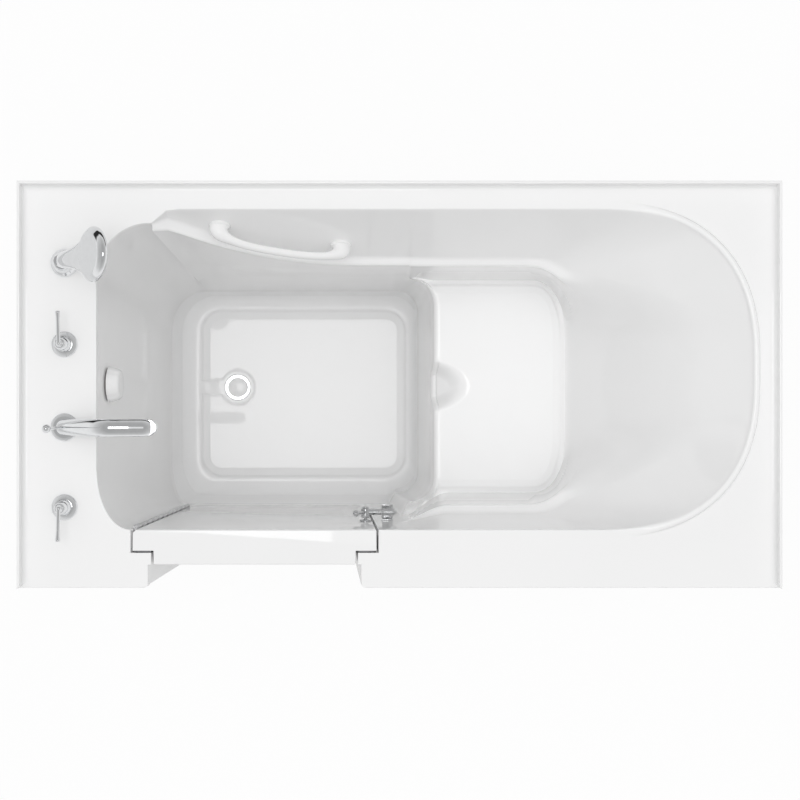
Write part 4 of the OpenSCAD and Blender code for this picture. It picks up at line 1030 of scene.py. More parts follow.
def doorway():
    """Cutters for the doorway: the leaf's room, the plug's room and the round edge at the tub's face."""
    face = -TUB_W / 2
    rings = [(FACE_R * (1 - s) + face, c) for c, s in map(polar, (90, 72, 54, 36, 18, 0))]
    rings = [(face - 60, rings[0][1])] + rings + [(Y_PLUG + 0.5, 1.0)]
    return [
        lipped(DOOR_GAP, Y_STEP - SEAL, Y_FRONT + 0.2),
        loft([at_depth(door_line(DOOR_GAP + 1 - DOOR_STEP, TALL), y) for y in (Y_PLUG, Y_STEP - 1)]),
        loft([at_depth(door_line(FACE_GAP + FACE_R * (1 - c), TALL), y) for y, c in rings]),
        rim_flare(DOOR_GAP, Y_STEP - SEAL, Y_FRONT + 6),
        rim_flare(FACE_GAP, face - 20, Y_PLUG + 0.5),
    ]


def build_shell():
    skin = shell_skin()
    drain = frame_at(X_DRAIN, Y_WASTE, FLOOR)
    x0, x1, y0, y1 = X_TAP + 94, X_DRAIN - 30, Y_WASTE - 16.5, Y_WASTE + 16.5
    channel = [(x0, y0), (x1, y0), (x1, y1), (x0, y1)]
    cuts = doorway() + [disc(6.3, -738, -32, on_hinge())]
    cuts += [disc(16, -60, 60, frame_at(X_TAPS, y, DECK)) for y in (Y_HOT, Y_SPOUT, Y_COLD, Y_SHOWER)]
    cuts.append(disc(16, -40, 60, frame_at(*OVERFLOW, OVERFLOW_TURN)))
    cuts += [disc(3.3, -20, 20, at_grab(g)) for g in GRAB]
    cuts.append(disc(39.5, -3, 40, drain, 96))
    cuts.append(loft([[(x, y, z) for x, y in channel] for z in (FLOOR - 3, FLOOR + 12)]))
    cuts.append(disc(22.5, -60, 60, drain, 64))
    shell = solid("moulded_shell", [(skin.verts, skin.faces)], cuts, 28)
    place("moulded_shell", shell, "shell", "tub", "tub_shell")


# ---- door ----
HINGE_TOP, HINGE_L = -40.0, 690.0


def rounded_plate(o, y_back, y_face, r):
    """Tray with a rounded face towards the tub and an open back."""
    way = math.copysign(1, y_face - y_back)
    inner = door_line(o - DOOR_SKIN, DECK - DOOR_SKIN)
    rings = [at_depth(inner, y_face - way * DOOR_SKIN), at_depth(inner, y_back),
             at_depth(door_line(o, DECK, 0.01), y_back)]
    for c, s in map(polar, QUARTER):
        inset = r * (1 - c)
        rings.append(at_depth(door_line(o - inset, DECK - inset, r * 0.6), y_face - way * (r - r * s)))
    return loft(rings)


def build_door(look):
    r = look.door_round * 1000
    at = on_hinge()
    wedge = loft([[tuple(at @ Vector((x, y, z))) for x, y in ((12, 2), (-1, 2), (-1, -11))]
                  for z in (-900, 60)])
    low = HINGE_TOP - HINGE_L + 30
    screws = [disc(2.1, 1.5, 12, at @ frame_at(0, -22, low + k * (HINGE_L - 60) / 3, 90), 24) for k in range(4)]
    leaf = solid("door_leaf", [rounded_plate(0, Y_STEP, Y_LEAF, r)], [wedge] + screws, 30)
    place("door_leaf", leaf, "door", "door", "door_inner_panel")
    plug = rounded_plate(-DOOR_STEP, Y_STEP, Y_PLUG, r)
    place("door_plug", plug, "door", "door", "door_outer_panel", 30)
    for name, source in (("door_surround", "door_frame"), ("apron", "front_panel")):
        place(name, bevelled(name, source, 1.2, 3), "shell", "tub", source)
    dress("rubber", "door_gasket")
    dress("steel", "door_stiffener")


def build_hinge():
    for name, body in (("hinge_frame_leaf", "tub"), ("hinge_door_leaf", "door")):
        place(name + "_rolled", bevelled(name + "_rolled", name, 0.35, 2, 50), "leaf", body, name)
    dress("leaf", "hinge_pin")


# ---- latch ----
X_LATCH, Z_LATCH, LATCH_STAND, ARM, BALL_R = DOOR_X1 - 41 * 0.29 - 15, DECK - 230.0, 20.0, 112.0, 7.0


def build_latch():
    at = moved(X_LATCH, Y_LEAF, Z_LATCH) @ spun(90, "X")
    rose = soften([(4.05, -0.1), (13, -0.1), (13, -2.4), (11.5, -3.6), (4.05, -3.6)], 0.5)
    place("latch_rose", ringed(rose, at), "satin", "door", "latch_base")
    pin = soften([(0, -31.6), (5.4, -31.2), (6.5, -30), (6.5, -28), (4, -28), (4, -0.1), (0, -0.1)], 0.5)
    place("latch_pin", turned(pin, at, 48), "satin", "door", "latch_pivot")
    side = at @ moved(0, 0, -LATCH_STAND) @ spun(90, "Y")
    arm_at = at @ spun(ARM, "Z") @ moved(0, 0, -LATCH_STAND) @ spun(90, "Y")
    hub = soften([(0, -27.7), (9.5, -27.7), (9.5, -7.7), (0, -7.7)], 1.4)
    tail = soften([(0, 0), (6, 0), (6, 36), (7.2, 38.5), (7.2, 59)] + arc(0, 59, 7.2, 5, 90, 10), 1.2)
    lever = soften([(0, 0), (4.4, 0), (4.2, 9), (3.6, 14), (3.6, 46), (0, 46)], 0.8)
    handle = solid("latch_handle", [turned(hub, at, 64), turned(tail, side, 48), turned(lever, arm_at, 32)],
                   [disc(4.05, -40, 0, at, 48)])
    place("latch_handle", handle, "satin", "latch", "latch_lever")
    grip = [(0, -4.4), (3.65, -4.4), (3.65, -5.9)] + arc(0, 0, BALL_R, -55, 90, 24)
    grip = turned(grip, arm_at @ moved(0, 0, 50.5), 64)
    place("latch_grip", grip, "satin", "latch", "latch_ball")
    place("strike", bevelled("strike", "latch_keeper", 0.6, 3), "satin", "tub", "latch_keeper")


# ---- taps, spout and diverter ----
HUB_H, LEVER = 54.0, 65.0
SPOUT_REACH, SPOUT_W, SPOUT_UP, SPOUT_SEAT = 198.0, 35.0, 89.0, 8.3


def build_taps():
    rose = soften([(14.3, 0.1), (25.5, 0.1), (26.5, 1.5), (25, 4.5), (20, 7.5), (17, 9), (14.3, 9)], 1.2, 5)
    bell = soften([(0, 42.3), (5.05, 42.3), (5.05, 9.6), (15.5, 9.6), (15.5, 17.6), (13, 29.6), (11.5, 48),
                   (10, 52.5), (7.5, 54), (0, 54)], 1.6, 5)
    neck = soften([(0, 0), (7.4, 0), (5.8, 3), (5.0, 5), (0, 5)], 0.6)
    bar = soften([(0, 0), (4, 0), (3.5, LEVER * 0.7), (5, LEVER - 3), (4.2, LEVER - 0.8), (0, LEVER)], 2.5, 6)
    knob = arc(0, 4.5, 5.4, -90, 90, 20)
    for name, y, side in (("hot", Y_HOT, -1), ("cold", Y_COLD, 1)):
        at = frame_at(X_TAPS, y, DECK)
        top = at @ moved(0, 0, HUB_H + 0.05)
        arm = top @ moved(0, 0, 6) @ spun(-82 * side, "X")
        place(name + "_rose", ringed(rose, at, 128), "chrome", "tub", name + "_escutcheon")
        place(name + "_bell", turned(bell, at, 96), "chrome", name + "_handle", name + "_hub")
        lever = solid(name + "_bar", [turned(neck, top, 64), turned(knob, top, 64), turned(bar, arm, 48)])
        place(name + "_bar", lever, "chrome", name + "_handle", name + "_lever")


def build_spout():
    at = frame_at(X_TAPS, Y_SPOUT, DECK)
    out_at = at @ moved(SPOUT_REACH - SPOUT_W / 2 - 2, 0, 0)
    rose = soften([(15.3, 0.1), (27.5, 0.1), (28.5, 2), (27, 5), (21, 8), (15.3, 8)], 1.4, 5)
    place("spout_rose", ringed(rose, at, 128), "chrome", "tub", "spout_flange")
    stations, n, root = [], 72, 14.9
    for k in range(n + 1):
        u = k / n
        a = math.radians(90 * ease(u * 2.2))
        point = at @ Vector((SPOUT_REACH * (max(0, u - 0.12) / 0.88) ** 1.15 * 0.93, 0,
                             SPOUT_SEAT + (SPOUT_UP - SPOUT_SEAT) * ease(u * 1.5) - 16 * u ** 4))
        end = math.sqrt(max(0.0, 1 - max(0.0, (u - 0.93) / 0.07) ** 2 * 0.45))
        stations.append((point, (math.sin(a), 0, math.cos(a)), (0, 1, 0),
                         mix(root, SPOUT_W / 2, ease(u * 2)) * end, mix(root, 9.5, ease(u * 2)) * end))
    r = SPOUT_W / 2 - 1
    mouth = soften([(0, SPOUT_UP - 28), (r, SPOUT_UP - 28), (r, SPOUT_UP - 12), (0, SPOUT_UP - 12)], 1.0)
    parts = [tube(stations, 56), disc(15, -58, SPOUT_SEAT + 4, at, 64), turned(mouth, out_at, 64)]
    holes = [disc(12.4, SPOUT_UP - 31, SPOUT_UP - 17, out_at, 64), disc(2.65, -60, 140, at, 32)]
    spout = solid("spout", parts, holes, 40)
    place("spout", spout, "chrome", "tub", "spout_body")
    ring = soften([(12.3, 57.5), (12.3, 69.5), (9.2, 69.5), (9.2, 60), (10, 57.5)], 0.4)
    place("aerator_ring", ringed(ring, out_at, 64), "chrome", "tub", "aerator")


def build_diverter():
    at = frame_at(X_TAPS, Y_SPOUT, DECK)
    rod = soften([(0, -80), (2.6, -80), (2.6, 166), (0, 166)], 0.5)
    place("diverter_stem", turned(rod, at, 32), "chrome", "diverter", "diverter_rod")
    pull = [(0, 166.05), (2.65, 166.05), (2.65, 164.2)] + arc(0, 172, 8.4, -70, 90, 28)
    place("diverter_pull_ball", turned(pull, at, 64), "chrome", "diverter", "diverter_knob")


# ---- hand shower ----
HANDLE_R, CUP_H, TILT, SHOWER_D, HEAD_T, NECK_R = 11.5, 34.0, 54.0, 106.0, 22.0, 17.0
HEAD_C = Vector((93.0, 0.0, 200.0))


def neck_stations(at, n=40):
    """Path of the neck from the handle up into the back of the head."""
    along = Vector((math.cos(math.radians(TILT)), 0, math.sin(math.radians(TILT))))
    start, middle = Vector((0, 0, CUP_H + 8)), Vector((5, 0, 72))
    finish = HEAD_C - along * SHOWER_D * 0.36 - Vector((-along.z, 0, along.x)) * 4
    root = HANDLE_R + 0.4
    for k in range(n + 1):
        u = k / n
        point = start.lerp(middle, u).lerp(middle.lerp(finish, u), u)
        yield (at @ point, Vector((0, 0, 1)).lerp(along, ease(u)), (0, 1, 0),
               mix(mix(root, NECK_R, ease(u * 2)), SHOWER_D * 0.38, u ** 5),
               mix(root, HEAD_T * 0.25, ease(u * 1.2)))


def build_hand_shower():
    at = frame_at(X_TAPS, Y_SHOWER, DECK)
    cup = soften([(0, -62), (15, -62), (15, 0.1), (27.5, 0.1), (28.5, 2.5), (27, 8), (21, 14), (17, 22),
                  (15.5, CUP_H), (11.85, CUP_H), (11.85, 2), (8, 2), (8, -54), (0, -54)], 1.6, 5)
    place("shower_cup", turned(cup, at, 128), "chrome", "tub", "shower_holder")
    head_at = at @ Matrix.Translation(HEAD_C) @ spun(-TILT, "Y") @ moved(0, 0, -HEAD_T / 2)
    half = SHOWER_D / 2
    head = soften([(0, 1.5), (half - 9, 1.5), (half - 2, 4), (half, 9), (half - 1.5, 15), (half - 8, 20),
                   (half - 12, HEAD_T), (0, HEAD_T)], 4.5, 7)
    grip = soften([(0, 2.4), (HANDLE_R, 2.4), (HANDLE_R, 56), (0, 56)], 1.5)
    parts = [turned(head, head_at, 128), tube(neck_stations(at), 48), turned(grip, at, 64)]
    handset = solid("shower_handset", parts, [disc(half - 11.8, -1, 3.6, head_at, 96)], 40)
    place("shower_handset", handset, "chrome", "hand_shower", "hand_shower")
    plate = soften([(0, 0.9), (half - 13.5, 0.9), (half - 12.2, 2.0), (half - 12.2, 3.5), (0, 3.5)], 0.5)
    place("shower_plate", turned(plate, head_at, 96), "spray", "hand_shower", "spray_plate")
    spray = grown("shower_nozzles", nozzle_tree(), [], "tyre",
                  {"Ring Gap": 7.4 * MM, "Nozzle Radius": 1.1 * MM, "Nozzle Length": 1.6 * MM})
    spray_at = head_at @ moved(0, 0, 0.95)
    spray_at.translation *= MM
    spray.transform(spray_at)
    place("shower_nozzles", spray, "tyre", "hand_shower", None)


# ---- Geometry Nodes for what repeats ----
def new_tree(name, inputs):
    """New node group with the given inputs, a geometry and a material; gives the tree and its inputs."""
    tree = bpy.data.node_groups.new(name, "GeometryNodeTree")
    tree.interface.new_socket("Geometry", in_out="INPUT", socket_type="NodeSocketGeometry")
    for label, default in inputs.items():
        kind = "NodeSocketVector" if isinstance(default, tuple) else "NodeSocketFloat"
        tree.interface.new_socket(label, in_out="INPUT", socket_type=kind).default_value = default
    tree.interface.new_socket("Material", in_out="INPUT", socket_type="NodeSocketMaterial")
    tree.interface.new_socket("Geometry", in_out="OUTPUT", socket_type="NodeSocketGeometry")
    return tree, tree.nodes.new("NodeGroupInput").outputs


def close_tree(tree, given, spread):
    """Sets a piece on every point, makes it real and paints it."""
    real = node(tree, "GeometryNodeRealizeInstances",
                {"Geometry": node(tree, "GeometryNodeInstanceOnPoints", spread, "Instances")}, "Geometry")
    paint = node(tree, "GeometryNodeSetMaterial", {"Geometry": real, "Material": given["Material"]},
                 "Geometry")
    feed(tree, tree.nodes.new("NodeGroupOutput"), {"Geometry": paint})
    return tree


def lifted(tree, geometry, z):
    """Geometry moved along Z."""
    shift = node(tree, "ShaderNodeCombineXYZ", {"Z": z})
    return node(tree, "GeometryNodeTransform", {"Translation": shift, "Geometry": geometry}, "Geometry")


SCREW_SIZES = ("Head Radius", "Head Height", "Shank Radius", "Length")


def screw_tree():
    """Countersunk cross-head screws on every point, all driven one way."""
    tree, given = new_tree("cross_head_screws", {
        "Head Radius": 0.005, "Head Height": 0.0024, "Shank Radius": 0.0022, "Length": 0.02, "Way": (0, 0, 1)})
    head_r, head_h, shank_r, length = (given[key] for key in SCREW_SIZES)

    def times(value, factor):
        return maths(tree, "MULTIPLY", value, factor)
    head = node(tree, "GeometryNodeMeshCone", {"Vertices": 32, "Radius Top": head_r, "Depth": head_h,
                                               "Radius Bottom": times(shank_r, 1.05)}, "Mesh")
    slots = []
    for x, y in ((1.15, 0.26), (0.26, 1.15)):
        size = node(tree, "ShaderNodeCombineXYZ", {"X": times(head_r, x), "Y": times(head_r, y), "Z": head_h})
        bar = node(tree, "GeometryNodeMeshCube", {"Size": size}, "Mesh")
        slots.append(lifted(tree, bar, times(head_h, 0.95)))
    carved = node(tree, "GeometryNodeMeshBoolean", {0: head, 1: slots}, "Mesh", operation="DIFFERENCE")
    shank = node(tree, "GeometryNodeMeshCylinder", {"Vertices": 20, "Radius": shank_r, "Depth": length},
                 "Mesh")
    down = maths(tree, "SUBTRACT", times(length, -0.5), times(head_h, 0.9))
    screw = node(tree, "GeometryNodeJoinGeometry",
                 {0: [lifted(tree, carved, times(head_h, -1.0)), lifted(tree, shank, down)]})
    turn = node(tree, "FunctionNodeAlignRotationToVector", {"Vector": given["Way"]}, "Rotation", axis="Z")
    return close_tree(tree, given, {"Points": given["Geometry"], "Instance": screw, "Rotation": turn})


def nozzle_tree():
    """Rings of soft spray nozzles round the middle of the plate."""
    tree, given = new_tree("spray_nozzles", {
        "Ring Gap": 0.0074, "Nozzle Radius": 0.0011, "Nozzle Length": 0.0016})
    radius, length = given["Nozzle Radius"], given["Nozzle Length"]
    tip = node(tree, "GeometryNodeMeshCone", {"Vertices": 10, "Radius Top": radius, "Depth": length,
                                              "Radius Bottom": maths(tree, "MULTIPLY", radius, 0.6)}, "Mesh")
    nozzle = lifted(tree, tip, maths(tree, "MULTIPLY", length, -0.95))
    rings = []
    for k in range(1, 6):
        reach = maths(tree, "MULTIPLY", given["Ring Gap"], k)
        rings.append(node(tree, "GeometryNodeMeshCircle", {"Vertices": 6 * k, "Radius": reach}, "Mesh"))
    points = node(tree, "GeometryNodeJoinGeometry", {0: rings})
    return close_tree(tree, given, {"Points": points, "Instance": nozzle})


def grown(name, tree, points, finish, values):
    """Plain mesh that a tree makes from points given in millimetres."""
    me = bpy.data.meshes.new(name)
    me.from_pydata([tuple(Vector(p) * MM) for p in points], [], [])
    ob = new_object(name, me)
    mod = ob.modifiers.new("nodes", "NODES")
    mod.node_group = tree
    values = dict(values, Material=FINISH[finish])
    for item in tree.interface.items_tree:
        if item.in_out == "INPUT" and item.name in values:
            mod[item.identifier] = values[item.name]
    result = evaluated(ob)
    bpy.data.objects.remove(ob)
    if not result.polygons:
        raise RuntimeError(name + " came out empty")
    result.name = name
    shade(result, 30)
    return result


def screw_points(source, way):
    """Head centres of a CAD node's screws, read from the node's own loose parts."""
    bm = welded(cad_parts[source].data)
    bm.verts.ensure_lookup_table()
    seen, heads = set(), []
    for v in bm.verts:
        if v.index in seen:
            continue
        stack, group = [v], []
        seen.add(v.index)
        while stack:
            w = stack.pop()
            group.append(w.co.copy())
            for e in w.link_edges:
                o = e.other_vert(w)
                if o.index not in seen:
                    seen.add(o.index)
                    stack.append(o)
        top = max(p.dot(way) for p in group)
        rim = [p for p in group if p.dot(way) > top - 1e-5]
        heads.append(sum(rim, Vector()) / len(rim) / MM)
    bm.free()
    return heads


def build_fasteners():
    tree = screw_tree()
    lean = math.atan(LEAN_L)
    hinge_way = Vector((math.cos(lean), 0, math.sin(lean)))
    for name, source, way, body, finish, *sizes in (
            ("apron_screws", "panel_screws", Vector((0, -1, 0)), "tub", "steel", 5.0, 2.4, 2.2, 14.0),
            ("strike_screws", "keeper_screws", Vector((0, 1, 0)), "tub", "chrome", 4.2, 1.8, 2.1, 3.0),
            ("frame_leaf_screws", "hinge_frame_screws", hinge_way, "tub", "leaf", 3.2, 1.1, 1.95, 7.6),
            ("door_leaf_screws", "hinge_door_screws", -hinge_way, "door", "leaf", 3.2, 1.1, 1.95, 9.6)):
        values = {key: size * MM for key, size in zip(SCREW_SIZES, sizes)}
        screws = grown(name, tree, screw_points(source, way), finish, dict(values, Way=tuple(way)))
        place(name, screws, finish, body, source)
    dress("steel", "grab_bar_bolts")


# ---- waste and overflow ----
def lobes(a, r):
    """Eight shallow finger grooves round the overflow dial, deeper towards its rim."""
    return float(1 - 0.03 * ramp((r - 24) / 12) * (0.5 + 0.5 * math.cos(8 * a)) ** 3)


def build_waste():
    at = frame_at(X_DRAIN, Y_WASTE, FLOOR)
    ring = soften([(18, -35), (21, -35), (21, -2.9), (33, -2.9), (33, -1.6), (31.5, -0.9), (20.5, -1.2),
                   (18, -2.6)], 0.7)
    place("drain_ring", ringed(ring, at, 96), "chrome", "tub", "drain_flange")
    cap = soften([(0, -30), (3, -30), (3, 0.4), (15, 0.4), (15, -16), (17.7, -16), (17.7, 0), (24.5, 0),
                  (24.5, 2.2), (23.3, 3.6), (14.7, 4.8), (0, 5.4)], 0.8)
    cap = turned(cap, at @ moved(0, 0, -0.5), 96)
    place("stopper_cap", cap, "knob", "stopper", "drain_stopper")
    dial = soften([(0, 2), (7, 2), (7, -17), (9.95, -17), (9.95, 9), (31, 9), (31, 3.2), (37, 3.2), (37, 7),
                   (35.5, 14), (32.5, 22), (29.5, 26.5), (26, 28), (0, 28.4)], 2.0, 5)
    dial = turned(dial, frame_at(*OVERFLOW, OVERFLOW_TURN), 192, lobes)
    place("overflow_dial", dial, "knob", "overflow_handle", "overflow_knob")


# ---- grab bar ----
def rail_stations(n=90):
    """Path of the bowed bar between its two feet on the back wall."""
    a, b = on_back(*GRAB[0]), on_back(*GRAB[1])
    along = (b - a).normalized()
    across = WALL_N.cross(along)

    def centre(t):
        c, s = polar(t)
        return ((a + b) / 2 - along * (b - a).length / 2 * math.copysign(abs(c) ** 0.8, c)
                + WALL_N * (4 + 36 * max(0.0, s) ** 0.7))
    for k in range(n + 1):
        u = k / n
        t = 180 * (u - 0.06 * math.sin(4 * math.pi * u))
        step = centre(min(180, t + 1)) - centre(max(0, t - 1))
        way = WALL_N if k == 0 else -WALL_N if k == n else step
        near_foot = abs(polar(t)[0])
        yield centre(t), way, across, 9.5 * (1 + 0.8 * near_foot ** 6), mix(7.6, 21.5, near_foot ** 9)


def build_grab_bar():
    foot = soften([(0, 0.25), (22, 0.25), (22, 2.4), (20, 5), (0, 5)], 1.6, 5)
    rail = solid("grab_rail", [tube(rail_stations(), 40)] + [turned(foot, at_grab(g), 96) for g in GRAB],
                 [disc(3.3, -2, 6.2, at_grab(g), 32) for g in GRAB], 50)
    place("grab_rail", rail, "knob", "tub", "grab_bar")


# ---- what stays as the solids have it ----
def build_underframe():
    for name, width in (("base_frame", 1.2), ("frame_posts", 1.2), ("foot_locknuts", 0.6)):
        place(name + "_welded", bevelled(name + "_welded", name, width, 2, 40), "steel", "tub", name)
    dress("plywood", "floor_board", "seat_board")
    dress("tyre", "levelling_feet")


def build_plumbing():
    dress("brass", "waste_tee", "drain_shoe", "spout_nut", "diverter_tee", "hot_valve", "cold_valve",
          "valve_nuts", "holder_nut", "overflow_body", "overflow_pipe")
    dress("copper", "mixer_pipes", "shower_pipe")
    dress("tyre", "overflow_gasket", "drain_gasket", "stopper_cable")


# ---- studio ----
FLOOR_HALF, KEY_SIZE, SOFT_FLAG = 9, 3.0, 0.03


def lay_floor(look):
    """White floor that the camera sees close to pure white."""
    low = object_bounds()[0][2]
    me = bpy.data.meshes.new("studio_floor")
    r = FLOOR_HALF
    me.from_pydata([(-r, -r, low), (r, -r, low), (r, r, low), (-r, r, low)], [], [(0, 1, 2, 3)])
    floor = new_object("studio_floor", me)
    mat = bpy.data.materials.new("studio_white")
    mat.use_nodes = True
    tree = mat.node_tree
    shader = tree.nodes["Principled BSDF"]
    feed(tree, shader, {"Base Color": (0.92, 0.92, 0.92, 1), "Roughness": 0.9, "Specular IOR Level": 0.1})
    seen = maths(tree, "MULTIPLY", node(tree, "ShaderNodeLightPath", out="Is Camera Ray"), look.floor_glow)
    glow = node(tree, "ShaderNodeEmission")
    blend = node(tree, "ShaderNodeMixShader", {0: seen, 1: shader.outputs[0], 2: glow})
    feed(tree, tree.nodes["Material Output"], {"Surface": blend})
    me.materials.append(mat)
    floor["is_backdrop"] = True


def hang_lamp(name, x, height, size, energy, glossy=True):
    """Rectangular lamp that looks straight down and isn't seen itself."""
    lamp = bpy.data.lights.new(name, "AREA")
    lamp.shape, lamp.size, lamp.size_y, lamp.energy = "RECTANGLE", size[0], size[1], energy
    ob = new_object(name, lamp)
    ob.location = (x, 0, height)
    ob.visible_camera, ob.visible_glossy = False, glossy


def light_room(look):
    """Room light: bright overhead for matt surfaces, and a graded room with a dark flag for reflections."""
    world = bpy.data.worlds.new("studio")
    bpy.context.scene.world = world
    world.use_nodes = True
    tree = world.node_tree
    parts = tree.nodes.new("ShaderNodeSeparateXYZ")
    feed(tree, parts, {0: node(tree, "ShaderNodeTexCoord", out="Generated")})
    up, side = parts.outputs["Z"], parts.outputs["Y"]
    fill = ranged(tree, up, look.ambient_low, look.ambient_high, look.overhead_from, 1.0)
    room = graded(tree, up, *((place_z, (grey,) * 3) for place_z, grey in
                              ((0.0, 0.95), (1.0, 0.45), (0.2, 0.9), (0.5, 0.62), (0.85, 0.45))))
    flag = maths(tree, "MULTIPLY", ranged(tree, side, 0.0, 1.0, 0.35, 0.5),
                 ranged(tree, up, 1.0, 0.0, 0.2, 0.3))
    sheen = node(tree, "ShaderNodeMix", {"Factor": flag, "A": room, "B": SOFT_FLAG}, "Result")
    path = tree.nodes.new("ShaderNodeLightPath").outputs
    lit = node(tree, "ShaderNodeMix", {"Factor": path["Is Glossy Ray"], "A": fill, "B": sheen}, "Result")
    seen = maths(tree, "MAXIMUM", path["Is Camera Ray"], path["Is Transmission Ray"])
    strength = node(tree, "ShaderNodeMix", {"Factor": seen, "A": lit, "B": 1.0}, "Result")
    feed(tree, tree.nodes["Background"], {"Strength": strength, "Color": (1, 1, 1, 1)})


def build_stage(look):
    lay_floor(look)
    length, width = look.box_length, look.box_width
    for name, shift, radiance in (("softbox_well", -length / 2, look.box_radiance),
                                  ("softbox_seat", length / 2, look.box_far)):
        hang_lamp(name, look.box_split + shift, look.box_height, (length, width),
                  radiance * math.pi * length * width)
    hang_lamp("overhead_key", 0, look.key_height, (KEY_SIZE, KEY_SIZE),
              look.key_share * (look.key_height - 1) ** 2 * math.pi ** 2, glossy=False)
    light_room(look)
    bpy.context.scene.view_settings.view_transform = "Standard"


def build_camera(look):
    cam = bpy.data.cameras.new("overhead")
    cam.lens, cam.sensor_width, cam.clip_end = look.lens, 36.0, 100.0
    ob = new_object("overhead", cam)
    ob.location = tuple(look.eye)
    bpy.context.scene.camera = ob


# ---- add-on ----
def slider(name, text, default, top=1.0):
    """Property that runs from 0 to its top, shown as a slider."""
    return FloatProperty(name=name, description=text, default=default, min=0.0, max=top, subtype="FACTOR")


def metres(name, text, default, low):
    return FloatProperty(name=name, description=text, default=default, min=low, unit="LENGTH")


def brightness(name, text, default):
    return FloatProperty(name=name, description=text, default=default, min=0.0)


def colour(name, text, default):
    return FloatVectorProperty(name=name, description=text, subtype="COLOR", size=3, min=0, max=1,
                               default=default)


class BATHTUB_Look(bpy.types.PropertyGroup):
    """Colours and softened edges of the bathtub"""
    acrylic: colour("Acrylic", "Colour of the moulding", (0.97, 0.97, 0.97))
    chrome: colour("Chrome", "Colour of the plated fittings", (0.83, 0.84, 0.85))
    gloss: slider("Acrylic Roughness", "How matt the moulding is", 0.025)
    door_round: FloatProperty(name="Door Edge", description="Radius of the door's edges", default=0.003,
                              min=0.001, max=0.004, subtype="DISTANCE", unit="LENGTH")


class BATHTUB_Studio(bpy.types.PropertyGroup):
    """Camera, lamps and surroundings"""
    eye: FloatVectorProperty(name="Camera Place", description="Where the camera hangs", size=3,
                             subtype="TRANSLATION", unit="LENGTH", default=(0.001, -0.030, 4.265))
    lens: FloatProperty(name="Focal Length", description="Focal length in millimetres", default=74.1,
                        min=20, max=200)
    box_length: metres("Softbox Length", "Length of each lamp", 1.4, 0.1)
    box_width: metres("Softbox Width", "Width of each lamp", 1.06, 0.1)
    box_height: metres("Softbox Height", "Height of the lamps above the floor", 6.0, 2.0)
    box_split: FloatProperty(name="Softbox Split", description="Where the two lamps meet along the bathtub",
                             default=0.16, unit="LENGTH")
    box_radiance: brightness("Well Brightness", "Brightness of the lamp over the well", 3.2)
    box_far: brightness("Seat Brightness", "Brightness of the lamp over the seat", 0.42)
    key_share: slider("Key Light", "Share of the light that falls straight down", 0.11)
    key_height: metres("Key Height", "Height of the unseen overhead light", 9.0, 3.0)
    ambient_low: brightness("Low Light", "Brightness of the room at eye level", 0.48)
    ambient_high: brightness("High Light", "Brightness of the room overhead", 1.37)
    overhead_from: slider("Overhead From", "Height on the sky where the overhead light starts", 0.64, 0.95)
    floor_glow: slider("Floor White", "How far the floor is lifted to white", 0.93)


class BATHTUB_OT_finishes(bpy.types.Operator):
    """Makes the materials of every piece"""
    bl_idname = "bathtub.finishes"
    bl_label = "Make Finishes"

    def execute(self, context):
        make_finishes(context.scene.bathtub_look)
        return {"FINISHED"}


class BATHTUB_OT_camera(bpy.types.Operator):
    """Hangs the camera over the bathtub"""
    bl_idname = "bathtub.camera"
    bl_label = "Hang Camera"

    def execute(self, context):
        build_camera(context.scene.bathtub_studio)
        return {"FINISHED"}


class BATHTUB_OT_shell(bpy.types.Operator):
    """Builds the one-piece moulding with its holes"""
    bl_idname = "bathtub.shell"
    bl_label = "Build Shell"

    def execute(self, context):
        build_shell()
        return {"FINISHED"}


class BATHTUB_OT_door(bpy.types.Operator):
    """Builds the door, its surround and the apron"""
    bl_idname = "bathtub.door"
    bl_label = "Build Door"

    def execute(self, context):
        build_door(context.scene.bathtub_look)
        return {"FINISHED"}


class BATHTUB_OT_hinge(bpy.types.Operator):
    """Rounds and finishes the piano hinge"""
    bl_idname = "bathtub.hinge"
    bl_label = "Build Hinge"

    def execute(self, context):
        build_hinge()
        return {"FINISHED"}


class BATHTUB_OT_latch(bpy.types.Operator):
    """Builds the door latch and its strike"""
    bl_idname = "bathtub.latch"
    bl_label = "Build Latch"

    def execute(self, context):
        build_latch()
        return {"FINISHED"}


class BATHTUB_OT_taps(bpy.types.Operator):
    """Builds the hot and cold lever handles"""
    bl_idname = "bathtub.taps"
    bl_label = "Build Taps"

    def execute(self, context):
        build_taps()
        return {"FINISHED"}


class BATHTUB_OT_spout(bpy.types.Operator):
    """Builds the deck spout and its aerator"""
    bl_idname = "bathtub.spout"
    bl_label = "Build Spout"

    def execute(self, context):
        build_spout()
        return {"FINISHED"}


class BATHTUB_OT_diverter(bpy.types.Operator):
    """Builds the lift rod and its ball"""
    bl_idname = "bathtub.diverter"
    bl_label = "Build Diverter"

    def execute(self, context):
        build_diverter()
        return {"FINISHED"}


class BATHTUB_OT_hand_shower(bpy.types.Operator):
    """Builds the hand shower, its cup and nozzles"""
    bl_idname = "bathtub.hand_shower"
    bl_label = "Build Hand Shower"

    def execute(self, context):
        build_hand_shower()
        return {"FINISHED"}


class BATHTUB_OT_waste(bpy.types.Operator):
    """Builds the drain, stopper and overflow dial"""
    bl_idname = "bathtub.waste"
    bl_label = "Build Waste"

    def execute(self, context):
        build_waste()
        return {"FINISHED"}


class BATHTUB_OT_grab_bar(bpy.types.Operator):
    """Builds the moulded grab bar"""
    bl_idname = "bathtub.grab_bar"
    bl_label = "Build Grab Bar"

    def execute(self, context):
        build_grab_bar()
        return {"FINISHED"}


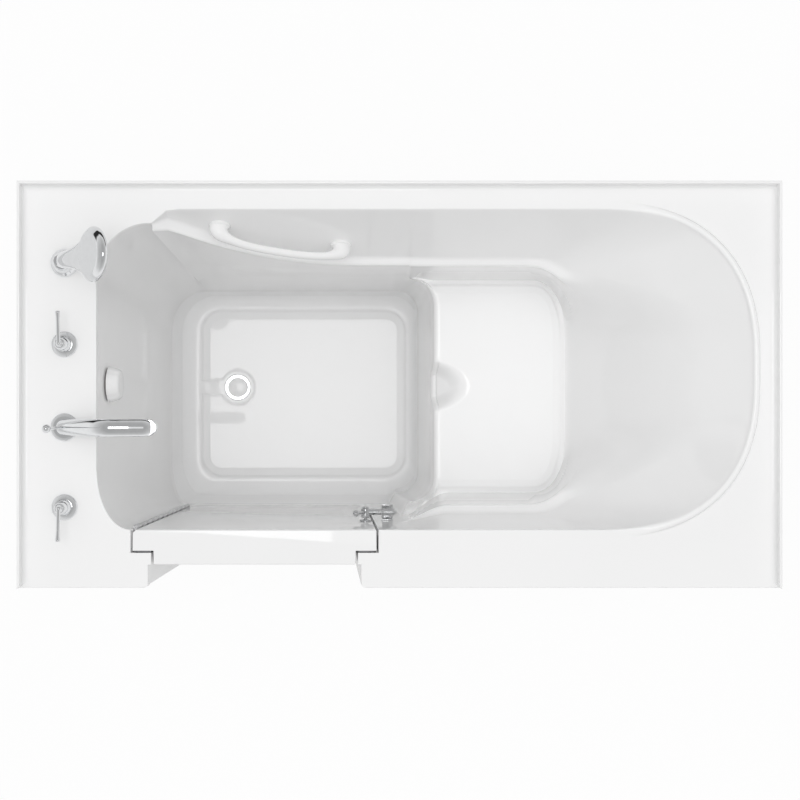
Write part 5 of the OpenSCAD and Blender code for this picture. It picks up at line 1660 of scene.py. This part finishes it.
class BATHTUB_OT_fasteners(bpy.types.Operator):
    """Sets the screws in their holes"""
    bl_idname = "bathtub.fasteners"
    bl_label = "Build Fasteners"

    def execute(self, context):
        build_fasteners()
        return {"FINISHED"}


class BATHTUB_OT_underframe(bpy.types.Operator):
    """Finishes the steel base, boards and feet"""
    bl_idname = "bathtub.underframe"
    bl_label = "Finish Underframe"

    def execute(self, context):
        build_underframe()
        return {"FINISHED"}


class BATHTUB_OT_plumbing(bpy.types.Operator):
    """Finishes the pipes, valves and waste below the deck"""
    bl_idname = "bathtub.plumbing"
    bl_label = "Finish Plumbing"

    def execute(self, context):
        build_plumbing()
        return {"FINISHED"}


class BATHTUB_OT_stage(bpy.types.Operator):
    """Lays the floor and sets the lamps and the room light"""
    bl_idname = "bathtub.stage"
    bl_label = "Set Stage"

    def execute(self, context):
        build_stage(context.scene.bathtub_studio)
        return {"FINISHED"}


OPERATORS = [BATHTUB_OT_finishes, BATHTUB_OT_camera, BATHTUB_OT_shell, BATHTUB_OT_door,
             BATHTUB_OT_hinge, BATHTUB_OT_latch, BATHTUB_OT_taps, BATHTUB_OT_spout,
             BATHTUB_OT_diverter, BATHTUB_OT_hand_shower, BATHTUB_OT_waste, BATHTUB_OT_grab_bar,
             BATHTUB_OT_fasteners, BATHTUB_OT_underframe, BATHTUB_OT_plumbing, BATHTUB_OT_stage]


class BATHTUB_PT_panel(bpy.types.Panel):
    """Lists the builders in the order they run"""
    bl_idname = "BATHTUB_PT_panel"
    bl_label = "Walk-in Bathtub"
    bl_space_type = "VIEW_3D"
    bl_region_type = "UI"
    bl_category = "Bathtub"

    def draw(self, context):
        for group in (context.scene.bathtub_look, context.scene.bathtub_studio):
            box = self.layout.box()
            for key in group.bl_rna.properties.keys():
                if key not in ("rna_type", "name"):
                    box.prop(group, key)
        for op in OPERATORS:
            self.layout.operator(op.bl_idname)


CLASSES = [BATHTUB_Look, BATHTUB_Studio, *OPERATORS, BATHTUB_PT_panel]


def register():
    for cls in CLASSES:
        bpy.utils.register_class(cls)
    bpy.types.Scene.bathtub_look = PointerProperty(type=BATHTUB_Look)
    bpy.types.Scene.bathtub_studio = PointerProperty(type=BATHTUB_Studio)


def unregister():
    del bpy.types.Scene.bathtub_studio
    del bpy.types.Scene.bathtub_look
    for cls in reversed(CLASSES):
        bpy.utils.unregister_class(cls)


def main():
    register()
    for op in OPERATORS:
        word = op.bl_idname.split(".")[1]
        if getattr(bpy.ops.bathtub, word)() != {"FINISHED"}:
            raise RuntimeError(word + " did not finish")


if __name__ == "__main__":
    main()
